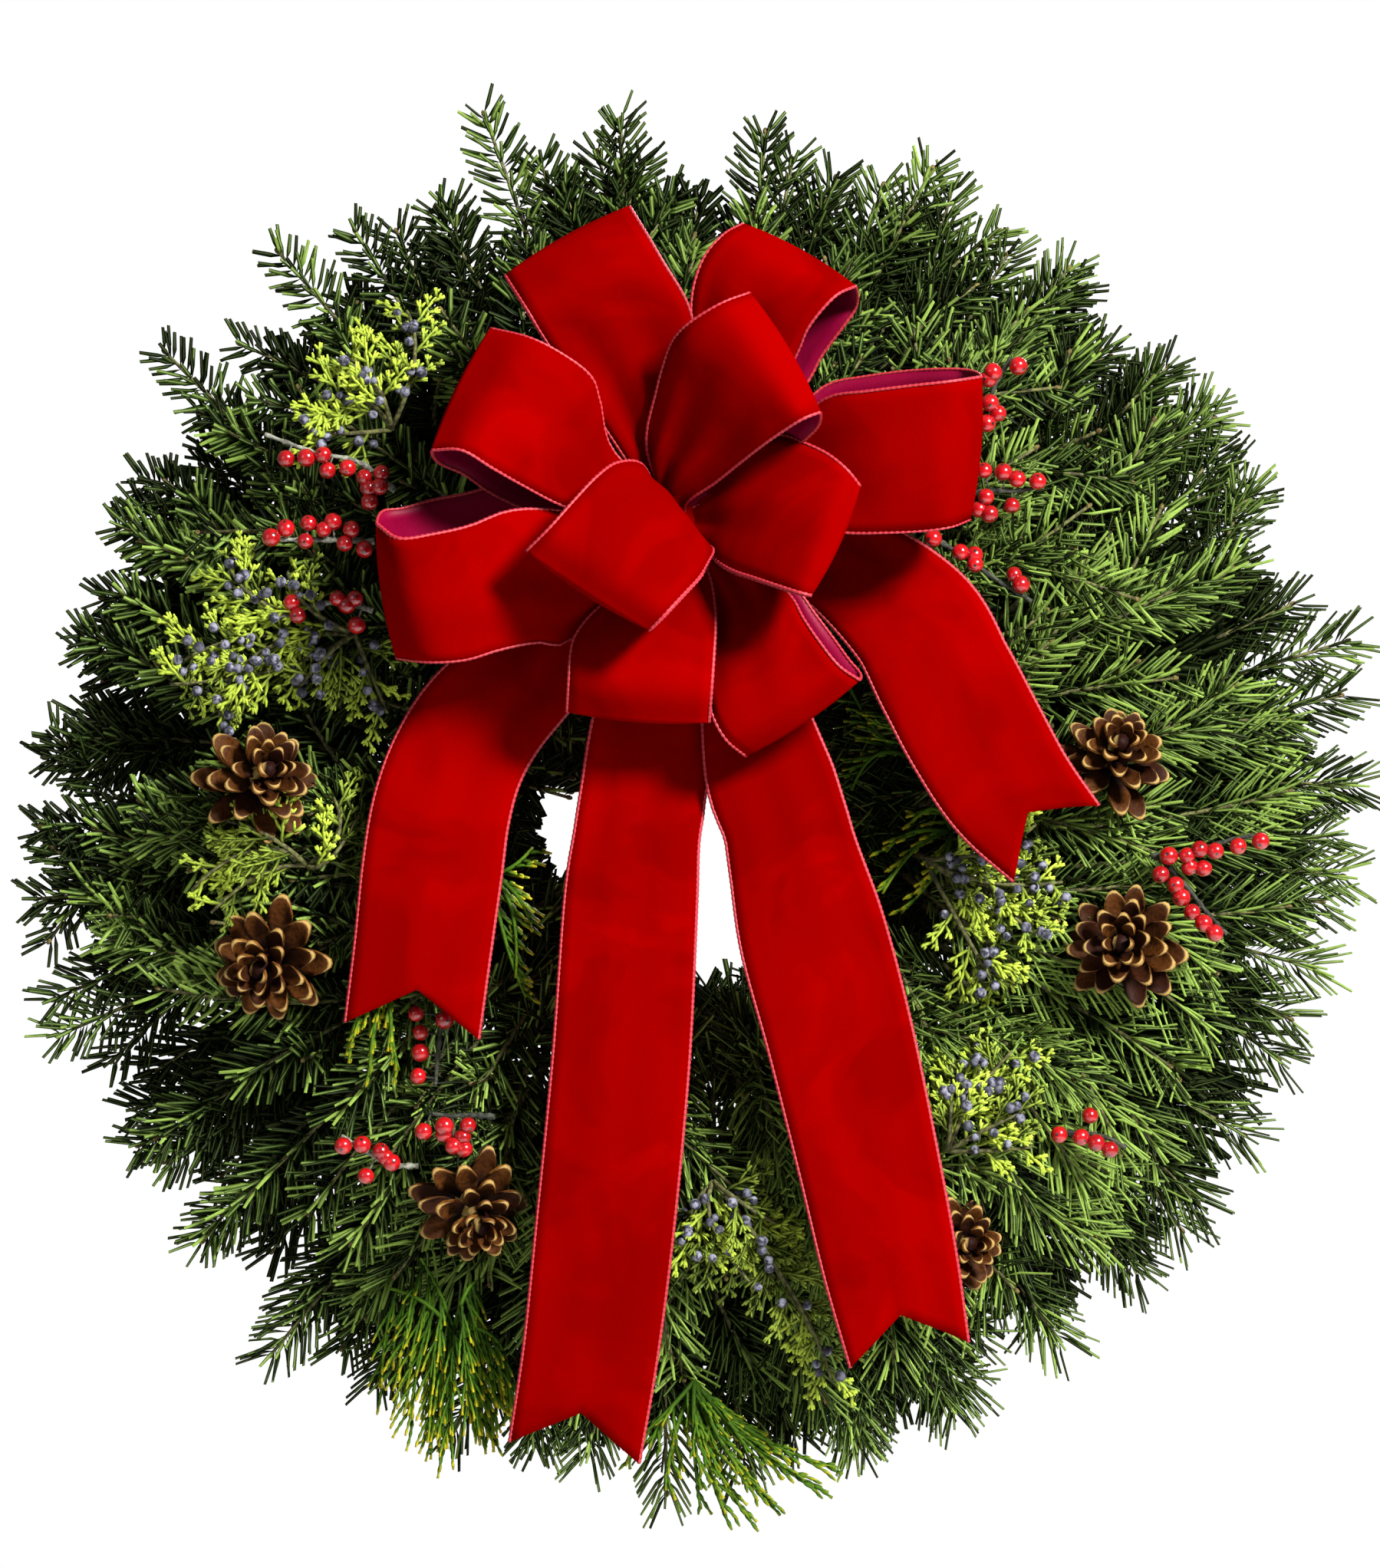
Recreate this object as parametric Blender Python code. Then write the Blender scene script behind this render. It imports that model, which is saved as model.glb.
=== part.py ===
"""Christmas wreath: fir bunches clamped to a wire ring, with cones, berries, juniper, cedar and a velvet bow.

The wreath stands as it hangs. +Z is up, -Y faces the viewer, and the origin is where a door hook carries the
ring: the underside of the ring's wire at its top. Angles run round the wreath from 0 at its right to 90 at
its top, radii are from its centre, and depths are in front of the ring's own plane. All lengths are metres.
"""

import math
import random

import bmesh
import bpy
from mathutils import Vector

# Wire ring and its clamps. The wire is drawn with six sides, RING_WIRE from its middle to a flat.
RING_RADIUS = 0.1524
RING_WIRE = 0.0019
RING_SEGMENTS = 32
RING_CORNER = RING_WIRE / math.cos(math.radians(30))
CLAMP_WIRE = 0.0011
CLAMP_OPENING = 0.22
CLEARANCE = 0.0004

# Fir bunches, one for each clamp
BUNCHES = 16
BUNCH_STEP = 360 / BUNCHES
BUNDLE_RADIUS = 0.0086
BUNDLE_FLAT = BUNDLE_RADIUS * math.cos(math.radians(30))
BUNDLE_DEPTH = RING_WIRE + CLEARANCE + BUNDLE_FLAT
BUNDLE_REACH = 5.6
LANE_HALF = 0.0022
FIR_STEM = 0.0027
FIR_NEEDLE = 0.0240
NEEDLE_BASE = 0.0021
NEEDLE_TWIST = 25
NEEDLE_GAP = 0.0012
TIP_SHARE = 0.45
TWIG_POINT = TIP_SHARE * FIR_NEEDLE
FIR_CREST_RADIUS = 0.165
FIR_CREST_SPREAD = 0.080
FIR_RIM_DEPTH = 0.022
FIR_CREST_DEPTH = 0.046
HOLE_RADIUS = 0.0745

# Where the needles at the tips of each bunch's two rim twigs end: angle from the bunch's middle, and radius
RIM_TIPS = (
    ((-9.3, 0.306), (3.0, 0.312)),
    ((-2.7, 0.285), (4.2, 0.301)),
    ((-1.3, 0.303), (3.9, 0.294)),
    ((-9.5, 0.314), (4.9, 0.313)),
    ((-5.5, 0.318), (5.3, 0.332)),
    ((-3.6, 0.307), (2.8, 0.318)),
    ((-7.2, 0.320), (7.5, 0.293)),
    ((-4.8, 0.291), (4.9, 0.285)),
    ((-3.3, 0.304), (8.6, 0.309)),
    ((-2.0, 0.289), (7.9, 0.300)),
    ((-3.7, 0.317), (5.9, 0.293)),
    ((-9.6, 0.307), (9.3, 0.315)),
    ((-7.0, 0.305), (3.4, 0.303)),
    ((-9.9, 0.302), (1.0, 0.298)),
    ((-4.1, 0.296), (3.2, 0.296)),
    ((-3.1, 0.296), (5.3, 0.302)),
)
RIM_BEND_RADIUS = 0.215

# A bunch's twigs: root's angle from the bunch's middle, depths of tip and bend, and needle tufts
RIM_TWIGS = ((-4.2, 0.013, 0.008, 3), (4.6, 0.016, 0.012, 3))

# Its inner twigs also have the angle and radius of their tip, and of their bend
INNER_TWIGS = (
    (2.6, 0.036, 0.044, 2, (-0.5, 0.268), (1.2, 0.205)),
    (-2.2, 0.054, 0.052, 1, (-3.0, 0.206), (-1.5, 0.172)),
    (-3.0, 0.044, 0.048, 1, (-4.0, 0.114), (-3.0, 0.128)),
    (4.2, 0.022, 0.014, 1, (2.0, 0.088), (5.5, 0.116)),
)

# Pick wires stand in the lanes between the bunches, on the ring's wire or beside it
PICK_WIRE = 0.0010
PICK_PITCH = RING_CORNER + PICK_WIRE + CLEARANCE
PICK_BEND = 0.012

# Decorations
CONE_RADIUS = 0.028
CONE_HEIGHT = 0.044
CONE_ROWS = 5
CONE_SCALES_ROUND = 8
RED_BERRY = 0.0039
BLUE_BERRY = 0.0027

# Bow
RIBBON_WIDTH = 0.0635
RIBBON_THICKNESS = 0.0012
KNOT_PIXEL = (884, 677)
KNOT_SIZE = (0.017, 0.0155, 0.018)
PINCH_BACK = 0.0850
PINCH_FRONT = 0.0896
TIE_WIRE = 0.0008
TIE_HEIGHT = 0.0165
TIE_RISE = -0.0055
TIE_CORNER = 0.0012
KNOT_DEPTH = PINCH_FRONT + RIBBON_THICKNESS / 2 + 2 * (CLEARANCE + TIE_WIRE) + 0.85 * KNOT_SIZE[1]

# How the photograph sees it: a pixel's size at the rim, the eye's distance from the rim, and the middle pixel
PIXEL = 0.000342
EYE_DISTANCE = 2.6
RIM_DEPTH = 0.020
MIDDLE_PIXEL = (899.5, 1022.0)
EYE_ABOVE_CENTRE = 0.0106

CENTRE_Z = -(RING_RADIUS - RING_CORNER)

for leftover in list(bpy.data.objects):
    bpy.data.objects.remove(leftover)


def place(angle, radius, depth):
    """The point at this angle round the wreath, radius from its centre and depth in front of the ring."""
    turn = math.radians(angle)
    return Vector((radius * math.cos(turn), -depth, CENTRE_Z + radius * math.sin(turn)))


def seen(pixel, depth):
    """The point that the photograph shows at this pixel, at this depth."""
    scale = PIXEL * (1 - (depth - RIM_DEPTH) / EYE_DISTANCE)
    across = (pixel[0] - MIDDLE_PIXEL[0]) * scale
    up = (MIDDLE_PIXEL[1] - pixel[1]) * scale
    return Vector((across, -depth, CENTRE_Z + EYE_ABOVE_CENTRE + up))


def polar(point):
    """Angle, radius and depth of a point."""
    height = point.z - CENTRE_Z
    return math.degrees(math.atan2(height, point.x)), math.hypot(point.x, height), -point.y


def fir_front(radius):
    """How far forward the fir reaches at this radius: a dome round the ring, thin at the rim and the hole."""
    away = (radius - FIR_CREST_RADIUS) / FIR_CREST_SPREAD
    return FIR_RIM_DEPTH + FIR_CREST_DEPTH * math.exp(-away * away)


def material(name, colour, roughness, metallic=0.0):
    made = bpy.data.materials.new(name)
    made.use_nodes = True
    shader = made.node_tree.nodes["Principled BSDF"]
    shader.inputs["Base Color"].default_value = (*colour, 1.0)
    shader.inputs["Roughness"].default_value = roughness
    shader.inputs["Metallic"].default_value = metallic
    made.diffuse_color = (*colour, 1.0)
    return made


STEEL = material("green_steel", (0.05, 0.12, 0.06), 0.45, 0.6)
FIR = material("fir_green", (0.05, 0.13, 0.04), 0.55)
JUNIPER = material("juniper_green", (0.17, 0.27, 0.06), 0.6)
CEDAR = material("cedar_green", (0.16, 0.30, 0.05), 0.6)
CONE = material("cone_brown", (0.28, 0.16, 0.07), 0.75)
BERRY = material("berry_red", (0.62, 0.01, 0.02), 0.15)
VELVET = material("velvet_red", (0.50, 0.005, 0.008), 0.9)
WIRE = material("tie_wire", (0.25, 0.25, 0.26), 0.35, 0.9)


def node(name, points, faces, finish):
    """An object from points and faces."""
    mesh = bpy.data.meshes.new(name)
    mesh.from_pydata([tuple(p) for p in points], [], faces)
    mesh.materials.append(finish)
    made = bpy.data.objects.new(name, mesh)
    bpy.context.scene.collection.objects.link(made)
    return made


def fill_pockets(mesh):
    """Removes the walls of closed pockets inside a solid, so that they are solid too."""
    shape = bmesh.new()
    shape.from_mesh(mesh)
    shape.verts.ensure_lookup_table()
    unseen, shells = set(shape.verts), []
    while unseen:
        first = unseen.pop()
        shell, edge = [first], [first]
        while edge:
            for link in edge.pop().link_edges:
                for vertex in link.verts:
                    if vertex in unseen:
                        unseen.remove(vertex)
                        shell.append(vertex)
                        edge.append(vertex)
        shells.append(shell)
    shells.sort(key=len)
    for shell in shells[:-1]:
        bmesh.ops.delete(shape, geom=shell, context="VERTS")
    shape.to_mesh(mesh)
    shape.free()


def fuse(body, parts):
    """Joins the parts to the body as one solid."""
    group = bpy.data.collections.new(body.name + "_parts")
    bpy.context.scene.collection.children.link(group)
    for part in parts:
        group.objects.link(part)
        bpy.context.scene.collection.objects.unlink(part)
    union = body.modifiers.new("union", "BOOLEAN")
    union.operation = "UNION"
    union.operand_type = "COLLECTION"
    union.collection = group
    union.solver = "MANIFOLD"
    graph = bpy.context.evaluated_depsgraph_get()
    joined = bpy.data.meshes.new_from_object(body.evaluated_get(graph))
    body.modifiers.clear()
    body.data = joined
    fill_pockets(joined)
    for part in list(group.objects):
        bpy.data.objects.remove(part)
    bpy.data.collections.remove(group)
    return body


def bezier(start, bend, end, t):
    return start * (1 - t) ** 2 + bend * 2 * t * (1 - t) + end * t * t


def smooth_route(points, t):
    """A point on the smooth curve through the given points, t from 0 to 1."""
    last = len(points) - 1
    at = min(max(t, 0.0), 1.0) * last
    i = min(int(at), last - 1)
    f = at - i
    b, c = points[i], points[i + 1]
    a = points[i - 1] if i > 0 else b * 2 - c
    d = points[i + 2] if i + 2 <= last else c * 2 - b
    square, cube = f * f, f * f * f
    return 0.5 * (b * 2 + (c - a) * f + (a * 2 - b * 5 + c * 4 - d) * square + (b * 3 - a - c * 3 + d) * cube)


def stretch(low, high, value):
    """0 below low, 1 above high and a smooth step between."""
    share = min(max((value - low) / (high - low), 0.0), 1.0)
    return share * share * (3 - 2 * share)


def ring_faces(rings, sides):
    """Side faces of a tube whose rings of points follow each other."""
    faces = []
    for k in range(rings - 1):
        for j in range(sides):
            low, high = k * sides, (k + 1) * sides
            step = (j + 1) % sides
            faces.append((low + step, low + j, high + j, high + step))
    return faces


def ribbon_faces(sections, sides):
    """Side faces of a thin strip, split into triangles alike on its front and its back."""
    faces = []
    for k in range(sections - 1):
        for j in range(sides):
            a, b = k * sides + j, k * sides + (j + 1) % sides
            if j < sides // 2:
                faces += [(a, b, b + sides), (a, b + sides, a + sides)]
            else:
                faces += [(a, b, a + sides), (b, b + sides, a + sides)]
    return faces


def tube(name, points, radii, sides, finish, first_normal=Vector((0, -1, 0.3))):
    """A closed tube of the given radii along the points."""
    verts = []
    normal = first_normal.normalized()
    last = len(points) - 1
    for k, point in enumerate(points):
        along = (points[min(k + 1, last)] - points[max(k - 1, 0)]).normalized()
        normal = (normal - along * normal.dot(along)).normalized()
        side = along.cross(normal)
        for j in range(sides):
            turn = 2 * math.pi * j / sides
            verts.append(point + (side * math.cos(turn) + normal * math.sin(turn)) * radii[k])
    faces = ring_faces(last + 1, sides)
    faces.append(tuple(range(sides)))
    faces.append(tuple(last * sides + j for j in range(sides))[::-1])
    return node(name, verts, faces, finish)


def leafy(name, route, shape, tufts, allowed, finish, draw):
    """A stem along a start, bend and end, with tufts of needles raised from its faces, and one at its tip.

    shape is the stem's radius, the needles' length, their angle from the stem and where the first tuft is.
    allowed(tip) says where a needle may reach.
    """
    stem, length, lean, first = shape

    def curve(t):
        return bezier(*route, t)

    whole = sum((curve((k + 1) / 20) - curve(k / 20)).length for k in range(20))
    base = NEEDLE_BASE / whole
    stations = [(0.0, "bare")]
    for k in range(tufts):
        t = first + (1 - first) * (k + 0.55) / tufts - base
        stations += [(t, "wide"), (t + base, "close"), (t + 2 * base, "bare")]
    stations.append((1.0, "bare"))
    stations.sort(key=lambda row: row[0])
    verts, faces, turns, placed = [], [], [], []
    for k, (t, _) in enumerate(stations):
        along = (curve(min(t + 0.02, 1)) - curve(max(t - 0.02, 0))).normalized()
        side = Vector((0, -1, 0)).cross(along).normalized()
        face = along.cross(side)
        for j in range(3):
            turn = math.radians(NEEDLE_TWIST * k + 120 * j)
            swell = (0.6 + 0.4 * stretch(0.0, 0.3, t)) * (1 - 0.5 * t)
            verts.append(curve(t) + (side * math.cos(turn) + face * math.sin(turn)) * stem * swell)
        turns.append((along, side, face))
    for k in range(len(stations) - 1):
        t, kind = stations[k]
        along, side, face = turns[k]
        for j in range(3):
            step = (j + 1) % 3
            low, high = 3 * k, 3 * (k + 1)
            quad = (low + j, low + step, high + step, high + j)
            middle = sum((verts[i] for i in quad), Vector()) / 4
            turn = math.radians(NEEDLE_TWIST * (k + 0.5) + 120 * (j + 0.5) + draw.uniform(-16, 16))
            spread = 1.35 if kind == "wide" else 0.85
            slant = math.radians(lean * (spread - 0.3 * t) + draw.uniform(-6, 6))
            out = side * math.cos(turn) + face * math.sin(turn) * 0.8
            heading = along * math.cos(slant) + out.normalized() * math.sin(slant)
            reach = length * (1 - 0.25 * t) * draw.uniform(0.9, 1.05)
            tries = [middle + heading * reach * share for share in (1.0, 0.8, 0.62, 0.48)]
            free = [tip for tip in tries if kind != "bare" and allowed(tip) and apart(middle, tip, placed)]
            if free:
                faces += [(quad[i], quad[(i + 1) % 4], len(verts)) for i in range(4)]
                verts.append(free[0])
                placed.append((middle.lerp(free[0], 0.3), free[0], NEEDLE_GAP))
            else:
                faces += [(quad[0], quad[1], quad[2]), (quad[0], quad[2], quad[3])]
    end = 3 * (len(stations) - 1)
    faces += [(end + j, end + (j + 1) % 3, len(verts)) for j in range(3)]
    faces.append((2, 1, 0))
    verts.append(curve(1.0) + (curve(1.0) - curve(0.96)).normalized() * TIP_SHARE * length)
    return node(name, verts, faces, finish)


def apart(root, tip, rods):
    """Whether a needle passes clear of the rods given."""
    return all(clear_of(rods, root.lerp(tip, share)) for share in (0.3, 0.5, 0.75, 1.0))


def ball(name, centre, radius, stalk, finish):
    """A 20-sided berry with one corner towards its stalk."""
    turned = stalk.to_track_quat("Z", "Y").to_matrix()
    points = [Vector((0, 0, 1))]
    for height, start in ((0.4472, 0), (-0.4472, 36)):
        for j in range(5):
            turn = math.radians(start + 72 * j)
            points.append(Vector((0.8944 * math.cos(turn), 0.8944 * math.sin(turn), height)))
    points.append(Vector((0, 0, -1)))
    faces = []
    for j in range(5):
        step = (j + 1) % 5
        faces += [(0, 1 + j, 1 + step), (1 + j, 6 + j, 1 + step)]
        faces += [(1 + step, 6 + j, 6 + step), (11, 6 + step, 6 + j)]
    return node(name, [centre + turned @ p * radius for p in points], faces, finish)


def bead(name, centre, radius, finish):
    """An eight-sided berry."""
    corners = ((1, 0, 0), (0, 1, 0), (-1, 0, 0), (0, -1, 0), (0, 0, 1), (0, 0, -1))
    points = [centre + Vector(corner) * radius for corner in corners]
    faces = []
    for j in range(4):
        faces += [(j, (j + 1) % 4, 4), ((j + 1) % 4, j, 5)]
    return node(name, points, faces, finish)


def build_ring():
    """The wire ring, with a clamp welded on for each bunch and folded round its stems."""
    points, faces = [], []
    for k in range(RING_SEGMENTS):
        for j in range(6):
            turn = math.radians(60 * j)
            radius = RING_RADIUS + RING_CORNER * math.cos(turn)
            points.append(place(360 * k / RING_SEGMENTS, radius, RING_CORNER * math.sin(turn)))
            low, high, step = 6 * k, 6 * ((k + 1) % RING_SEGMENTS), (j + 1) % 6
            faces.append((low + step, low + j, high + j, high + step))
    ring = node("wire_clamp_ring", points, faces, STEEL)
    clamps = []
    wide, deep = BUNDLE_RADIUS + CLEARANCE + CLAMP_WIRE, BUNDLE_FLAT + CLEARANCE + CLAMP_WIRE
    for k in range(BUNCHES):
        angle = bunch_angle(k)
        corners = []
        for a, b in ((1, 1), (1, -1), (-1, -1), (-1, 1)):
            corners.append(place(angle, RING_RADIUS + wide * a, BUNDLE_DEPTH + deep * b))
        start = corners[0].lerp(corners[3], CLAMP_OPENING)
        end = corners[3].lerp(corners[0], CLAMP_OPENING)
        path = [start, *corners, end]
        round_ring = place(angle + 90, 1, 0) - place(0, 0, 0)
        clamps.append(tube(f"clamp_{k}", path, [CLAMP_WIRE] * len(path), 3, STEEL, round_ring))
    return fuse(ring, clamps)


def bunch_angle(k):
    return BUNCH_STEP * (k + 0.5)


def inside_bunch(middle, others):
    """A test for a point inside the bunch's own wedge, under the fir's dome and clear of other things."""

    def allowed(point):
        angle, radius, depth = polar(point)
        off = (angle - middle + 180) % 360 - 180
        edge = math.radians(BUNCH_STEP / 2 - abs(off))
        if abs(off) > BUNCH_STEP / 2 or radius * math.sin(edge) < LANE_HALF:
            return False
        if radius < HOLE_RADIUS + 0.001 or not -0.0008 < depth < fir_front(radius) - 0.001:
            return False
        near_clamp = abs(math.radians(off)) * radius < 0.0045
        if near_clamp and math.hypot(radius - RING_RADIUS, depth - BUNDLE_DEPTH) < 0.015:
            return False
        return clear_of(others, point)

    return allowed


def clear_of(others, point):
    """Whether a point is outside all the (start, end, radius) rods given."""
    for start, end, radius in others:
        line = end - start
        share = min(max((point - start).dot(line) / line.length_squared, 0.0), 1.0)
        if (point - start - line * share).length < radius:
            return False
    return True


def twig_routes(k, others):
    """The start, bend and end of each of a bunch's twigs, with its number of needle tufts."""
    draw = random.Random(100 + k)
    middle = bunch_angle(k)
    rows = []
    for (root_off, tip_depth, bend_depth, tufts), (tip_off, reach) in zip(RIM_TWIGS, RIM_TIPS[k]):
        bend = (root_off + 0.35 * (tip_off - root_off) + draw.uniform(-0.8, 0.8), RIM_BEND_RADIUS)
        rows.append((root_off, tip_depth, bend_depth, tufts, (tip_off, reach - TWIG_POINT), bend))
    for root_off, tip_depth, bend_depth, tufts, (tip_off, radius), (bend_off, bend_radius) in INNER_TWIGS:
        tip = (tip_off + draw.uniform(-0.8, 0.8), radius + draw.uniform(-0.004, 0.004))
        rows.append((root_off, tip_depth, bend_depth, tufts, tip, (bend_off, bend_radius)))
    routes = []
    for root_off, tip_depth, bend_depth, tufts, (tip_off, radius), (bend_off, bend_radius) in rows:
        side, lift = math.copysign(0.003, radius - RING_RADIUS), 0.003 if tip_depth > 0.03 else -0.001
        start = place(middle + root_off, RING_RADIUS + side, BUNDLE_DEPTH + lift)
        bend = place(middle + bend_off, bend_radius, bend_depth)
        depth = tip_depth + draw.uniform(0, 0.004)
        while not clear_of(others, place(middle + tip_off, radius + TWIG_POINT, depth)):
            depth -= 0.003
        routes.append((start, bend, place(middle + tip_off, radius, depth), tufts))
    return routes


def build_bunch(k, others):
    """A bundle of fir stems in its clamp, with twigs to the rim, the front and the hole."""
    draw = random.Random(200 + k)
    middle = bunch_angle(k)
    allowed = inside_bunch(middle, others)
    verts = []
    for off in (-BUNDLE_REACH, BUNDLE_REACH):
        for j in range(6):
            turn = math.radians(60 * j)
            radius = RING_RADIUS + BUNDLE_RADIUS * math.cos(turn)
            verts.append(place(middle + off, radius, BUNDLE_DEPTH + BUNDLE_RADIUS * math.sin(turn)))
    faces = ring_faces(2, 6)
    faces += [tuple(range(6)), tuple(range(6, 12))[::-1]]
    bundle = node(f"fir_bunch_{k + 1:02d}", verts, faces, FIR)
    shape = (FIR_STEM, FIR_NEEDLE, 60, 0.2)
    twigs = []
    for i, (start, bend, end, tufts) in enumerate(twig_routes(k, others)):
        twigs.append(leafy(f"twig_{k}_{i}", (start, bend, end), shape, tufts, allowed, FIR, draw))
    return fuse(bundle, twigs)


def lane_wire(slot, base):
    """A pick's route to its base: from the ring, inside the nearest lane between two bunches, out of the fir.

    Slot 0 starts on the front of the ring's wire, slots 1 and -1 outside and inside it.
    """
    angle, radius, depth = polar(base)
    lane = BUNCH_STEP * round(angle / BUNCH_STEP)
    leave = radius * math.cos(math.radians(angle - lane))
    foot = RING_RADIUS + slot * PICK_PITCH
    return [
        place(lane, foot, 0.0 if slot else RING_WIRE + CLEARANCE),
        place(lane, foot, PICK_BEND),
        place(lane, leave, min(fir_front(leave) + 0.002, depth)),
        base,
    ]


def cone_mesh(name, base, axis, size, turn):
    """An open pine cone: a core with rows of scales raised from it, each row half a scale further round."""
    axis = axis.normalized()
    side = axis.cross(Vector((0.2, 0.1, 1))).normalized()
    face = axis.cross(side)
    rows, around = CONE_ROWS, CONE_SCALES_ROUND

    def at(angle, radius, height):
        return base + (side * math.cos(angle) + face * math.sin(angle)) * radius + axis * height

    verts = []
    for k in range(rows + 1):
        share = k / rows
        radius = 0.0095 * size * (1 - 0.62 * share * share)
        for j in range(around):
            angle = turn + 2 * math.pi * (j + 0.5 * k) / around
            verts.append(at(angle, radius, CONE_HEIGHT * size * (0.06 + 0.78 * share)))
    faces = []
    for k in range(rows):
        share = (k + 0.5) / rows
        swell = 0.93 + 0.07 * math.sin(math.pi * min(share * 2, 1))
        reach = CONE_RADIUS * size * swell * (1 - 0.68 * share**2.2)
        height = CONE_HEIGHT * size * (0.10 + 0.84 * share)
        for j in range(around):
            step = (j + 1) % around
            low, high = k * around, (k + 1) * around
            quad = (low + j, low + step, high + step, high + j)
            angle = turn + 2 * math.pi * (j + 0.5 + 0.5 * k + 0.25) / around
            wide = 0.0056 * size * (1 - 0.35 * share) / reach
            first = len(verts)
            verts += [at(angle - wide, reach, height), at(angle + wide, reach, height)]
            faces.append((quad[0], quad[1], first + 1, first))
            faces.append((quad[1], quad[2], first + 1))
            faces.append((quad[2], quad[3], first, first + 1))
            faces.append((quad[3], quad[0], first))
    apex = len(verts)
    verts.append(at(0, 0, CONE_HEIGHT * size * 0.98))
    top = rows * around
    faces += [(top + j, top + (j + 1) % around, apex) for j in range(around)]
    faces.append(tuple(range(around))[::-1])
    return node(name, verts, faces, CONE)


# Pixel of the middle, size against the largest, tilt of the axis to the right and up, and slot of the pick
CONES = {
    "cone_left_upper": ((342, 1012), 1.00, (0.30, 0.25), 1),
    "cone_left_lower": ((346, 1258), 1.00, (-0.20, -0.15), 1),
    "cone_bottom_left": ((622, 1584), 0.94, (0.25, -0.40), 0),
    "cone_right_upper": ((1456, 982), 0.94, (0.10, 0.45), 0),
    "cone_right_lower": ((1464, 1232), 1.02, (-0.15, 0.10), 0),
    "cone_bottom_right": ((1252, 1622), 0.88, (0.35, 0.10), 0),
}


def cone_seat(pixel, size, tilt):
    """Where a cone's base sits on the fir, and its axis."""
    axis = Vector((tilt[0], -1, tilt[1])).normalized()
    middle = seen(pixel, 0.085)
    seat = fir_front(polar(middle)[1]) + 0.0035
    base = seen(pixel, seat + CONE_HEIGHT * size * 0.5) - axis * CONE_HEIGHT * size * 0.5
    base.y = min(base.y, -seat)
    return base, axis


def build_cone(name, pixel, size, tilt, slot, turn):
    base, axis = cone_seat(pixel, size, tilt)
    body = cone_mesh(name, base, axis, size, turn)
    wire = tube(name + "_wire", lane_wire(slot, base + axis * 0.008), [PICK_WIRE] * 4, 3, STEEL)
    return fuse(body, [wire])


# Slot of the pick, depth, berries on each stem, and pixels along each stem from its inner end
BERRY_PICKS = {
    "berry_pick_left_top": (0, 0.079, 4, [[(515, 640), (470, 604), (405, 588), (345, 566)]]),
    "berry_pick_left_middle": (-1, 0.077, 4, [[(488, 706), (440, 704), (390, 704), (350, 702)]]),
    "berry_pick_left_low": (0, 0.078, 3, [[(486, 796), (446, 786), (405, 790), (360, 806)]]),
    "berry_pick_right_top": (1, 0.081, 4, [[(1250, 590), (1282, 545), (1296, 505), (1318, 466)]]),
    "berry_pick_right_middle": (0, 0.078, 4, [[(1255, 645), (1290, 640), (1322, 640), (1352, 636)]]),
    "berry_pick_right_low": (-1, 0.076, 3, [[(1200, 690), (1250, 722), (1300, 756), (1345, 784)]]),
    "berry_pick_right_side": (
        1,
        0.072,
        3,
        [
            [(1500, 1116), (1550, 1112), (1600, 1096), (1650, 1086)],
            [(1506, 1112), (1542, 1150), (1572, 1188), (1600, 1218)],
        ],
    ),
    "berry_pick_bottom_right": (1, 0.061, 4, [[(1372, 1480), (1400, 1476), (1440, 1482), (1468, 1496)]]),
    "berry_pick_inner_left": (0, 0.072, 4, [[(578, 1290), (575, 1335), (571, 1375), (567, 1416)]]),
    "berry_pick_bottom_left": (1, 0.072, 4, [[(545, 1520), (510, 1518), (475, 1500), (445, 1480)]]),
    "berry_pick_bottom_cluster": (-1, 0.080, 4, [[(645, 1456), (616, 1454), (588, 1455), (562, 1452)]]),
}


def build_berry_pick(name, slot, depth, berries, stems):
    """Red berries on woody stems that leave one pick wire."""
    draw = random.Random(name)
    routes = [[seen(p, depth + 0.002 * i) for i, p in enumerate(stem)] for stem in stems]
    base = routes[0][0].lerp(routes[0][1], 0.15)
    body = tube(name, lane_wire(slot, base), [PICK_WIRE] * 4, 3, BERRY)
    parts = []
    for i, route in enumerate(routes):
        parts.append(tube(f"{name}_stem_{i}", route, [0.0014, 0.0013, 0.0012, 0.0010], 3, BERRY))
        for k in range(berries):
            t = (k + 0.6) / berries
            along = (smooth_route(route, min(t + 0.02, 1)) - smooth_route(route, t - 0.02)).normalized()
            side = along.cross(Vector((0, -1, 0))).normalized() * (1 if k % 2 else -1)
            out = (side + Vector((0, -0.7, 0)) * draw.uniform(0.2, 1)).normalized()
            radius = RED_BERRY * draw.uniform(0.88, 1.08)
            centre = smooth_route(route, t) + out * (radius + 0.0002)
            parts.append(ball(f"{name}_berry_{i}_{k}", centre, radius, -out, BERRY))
    return fuse(body, parts)


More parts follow.
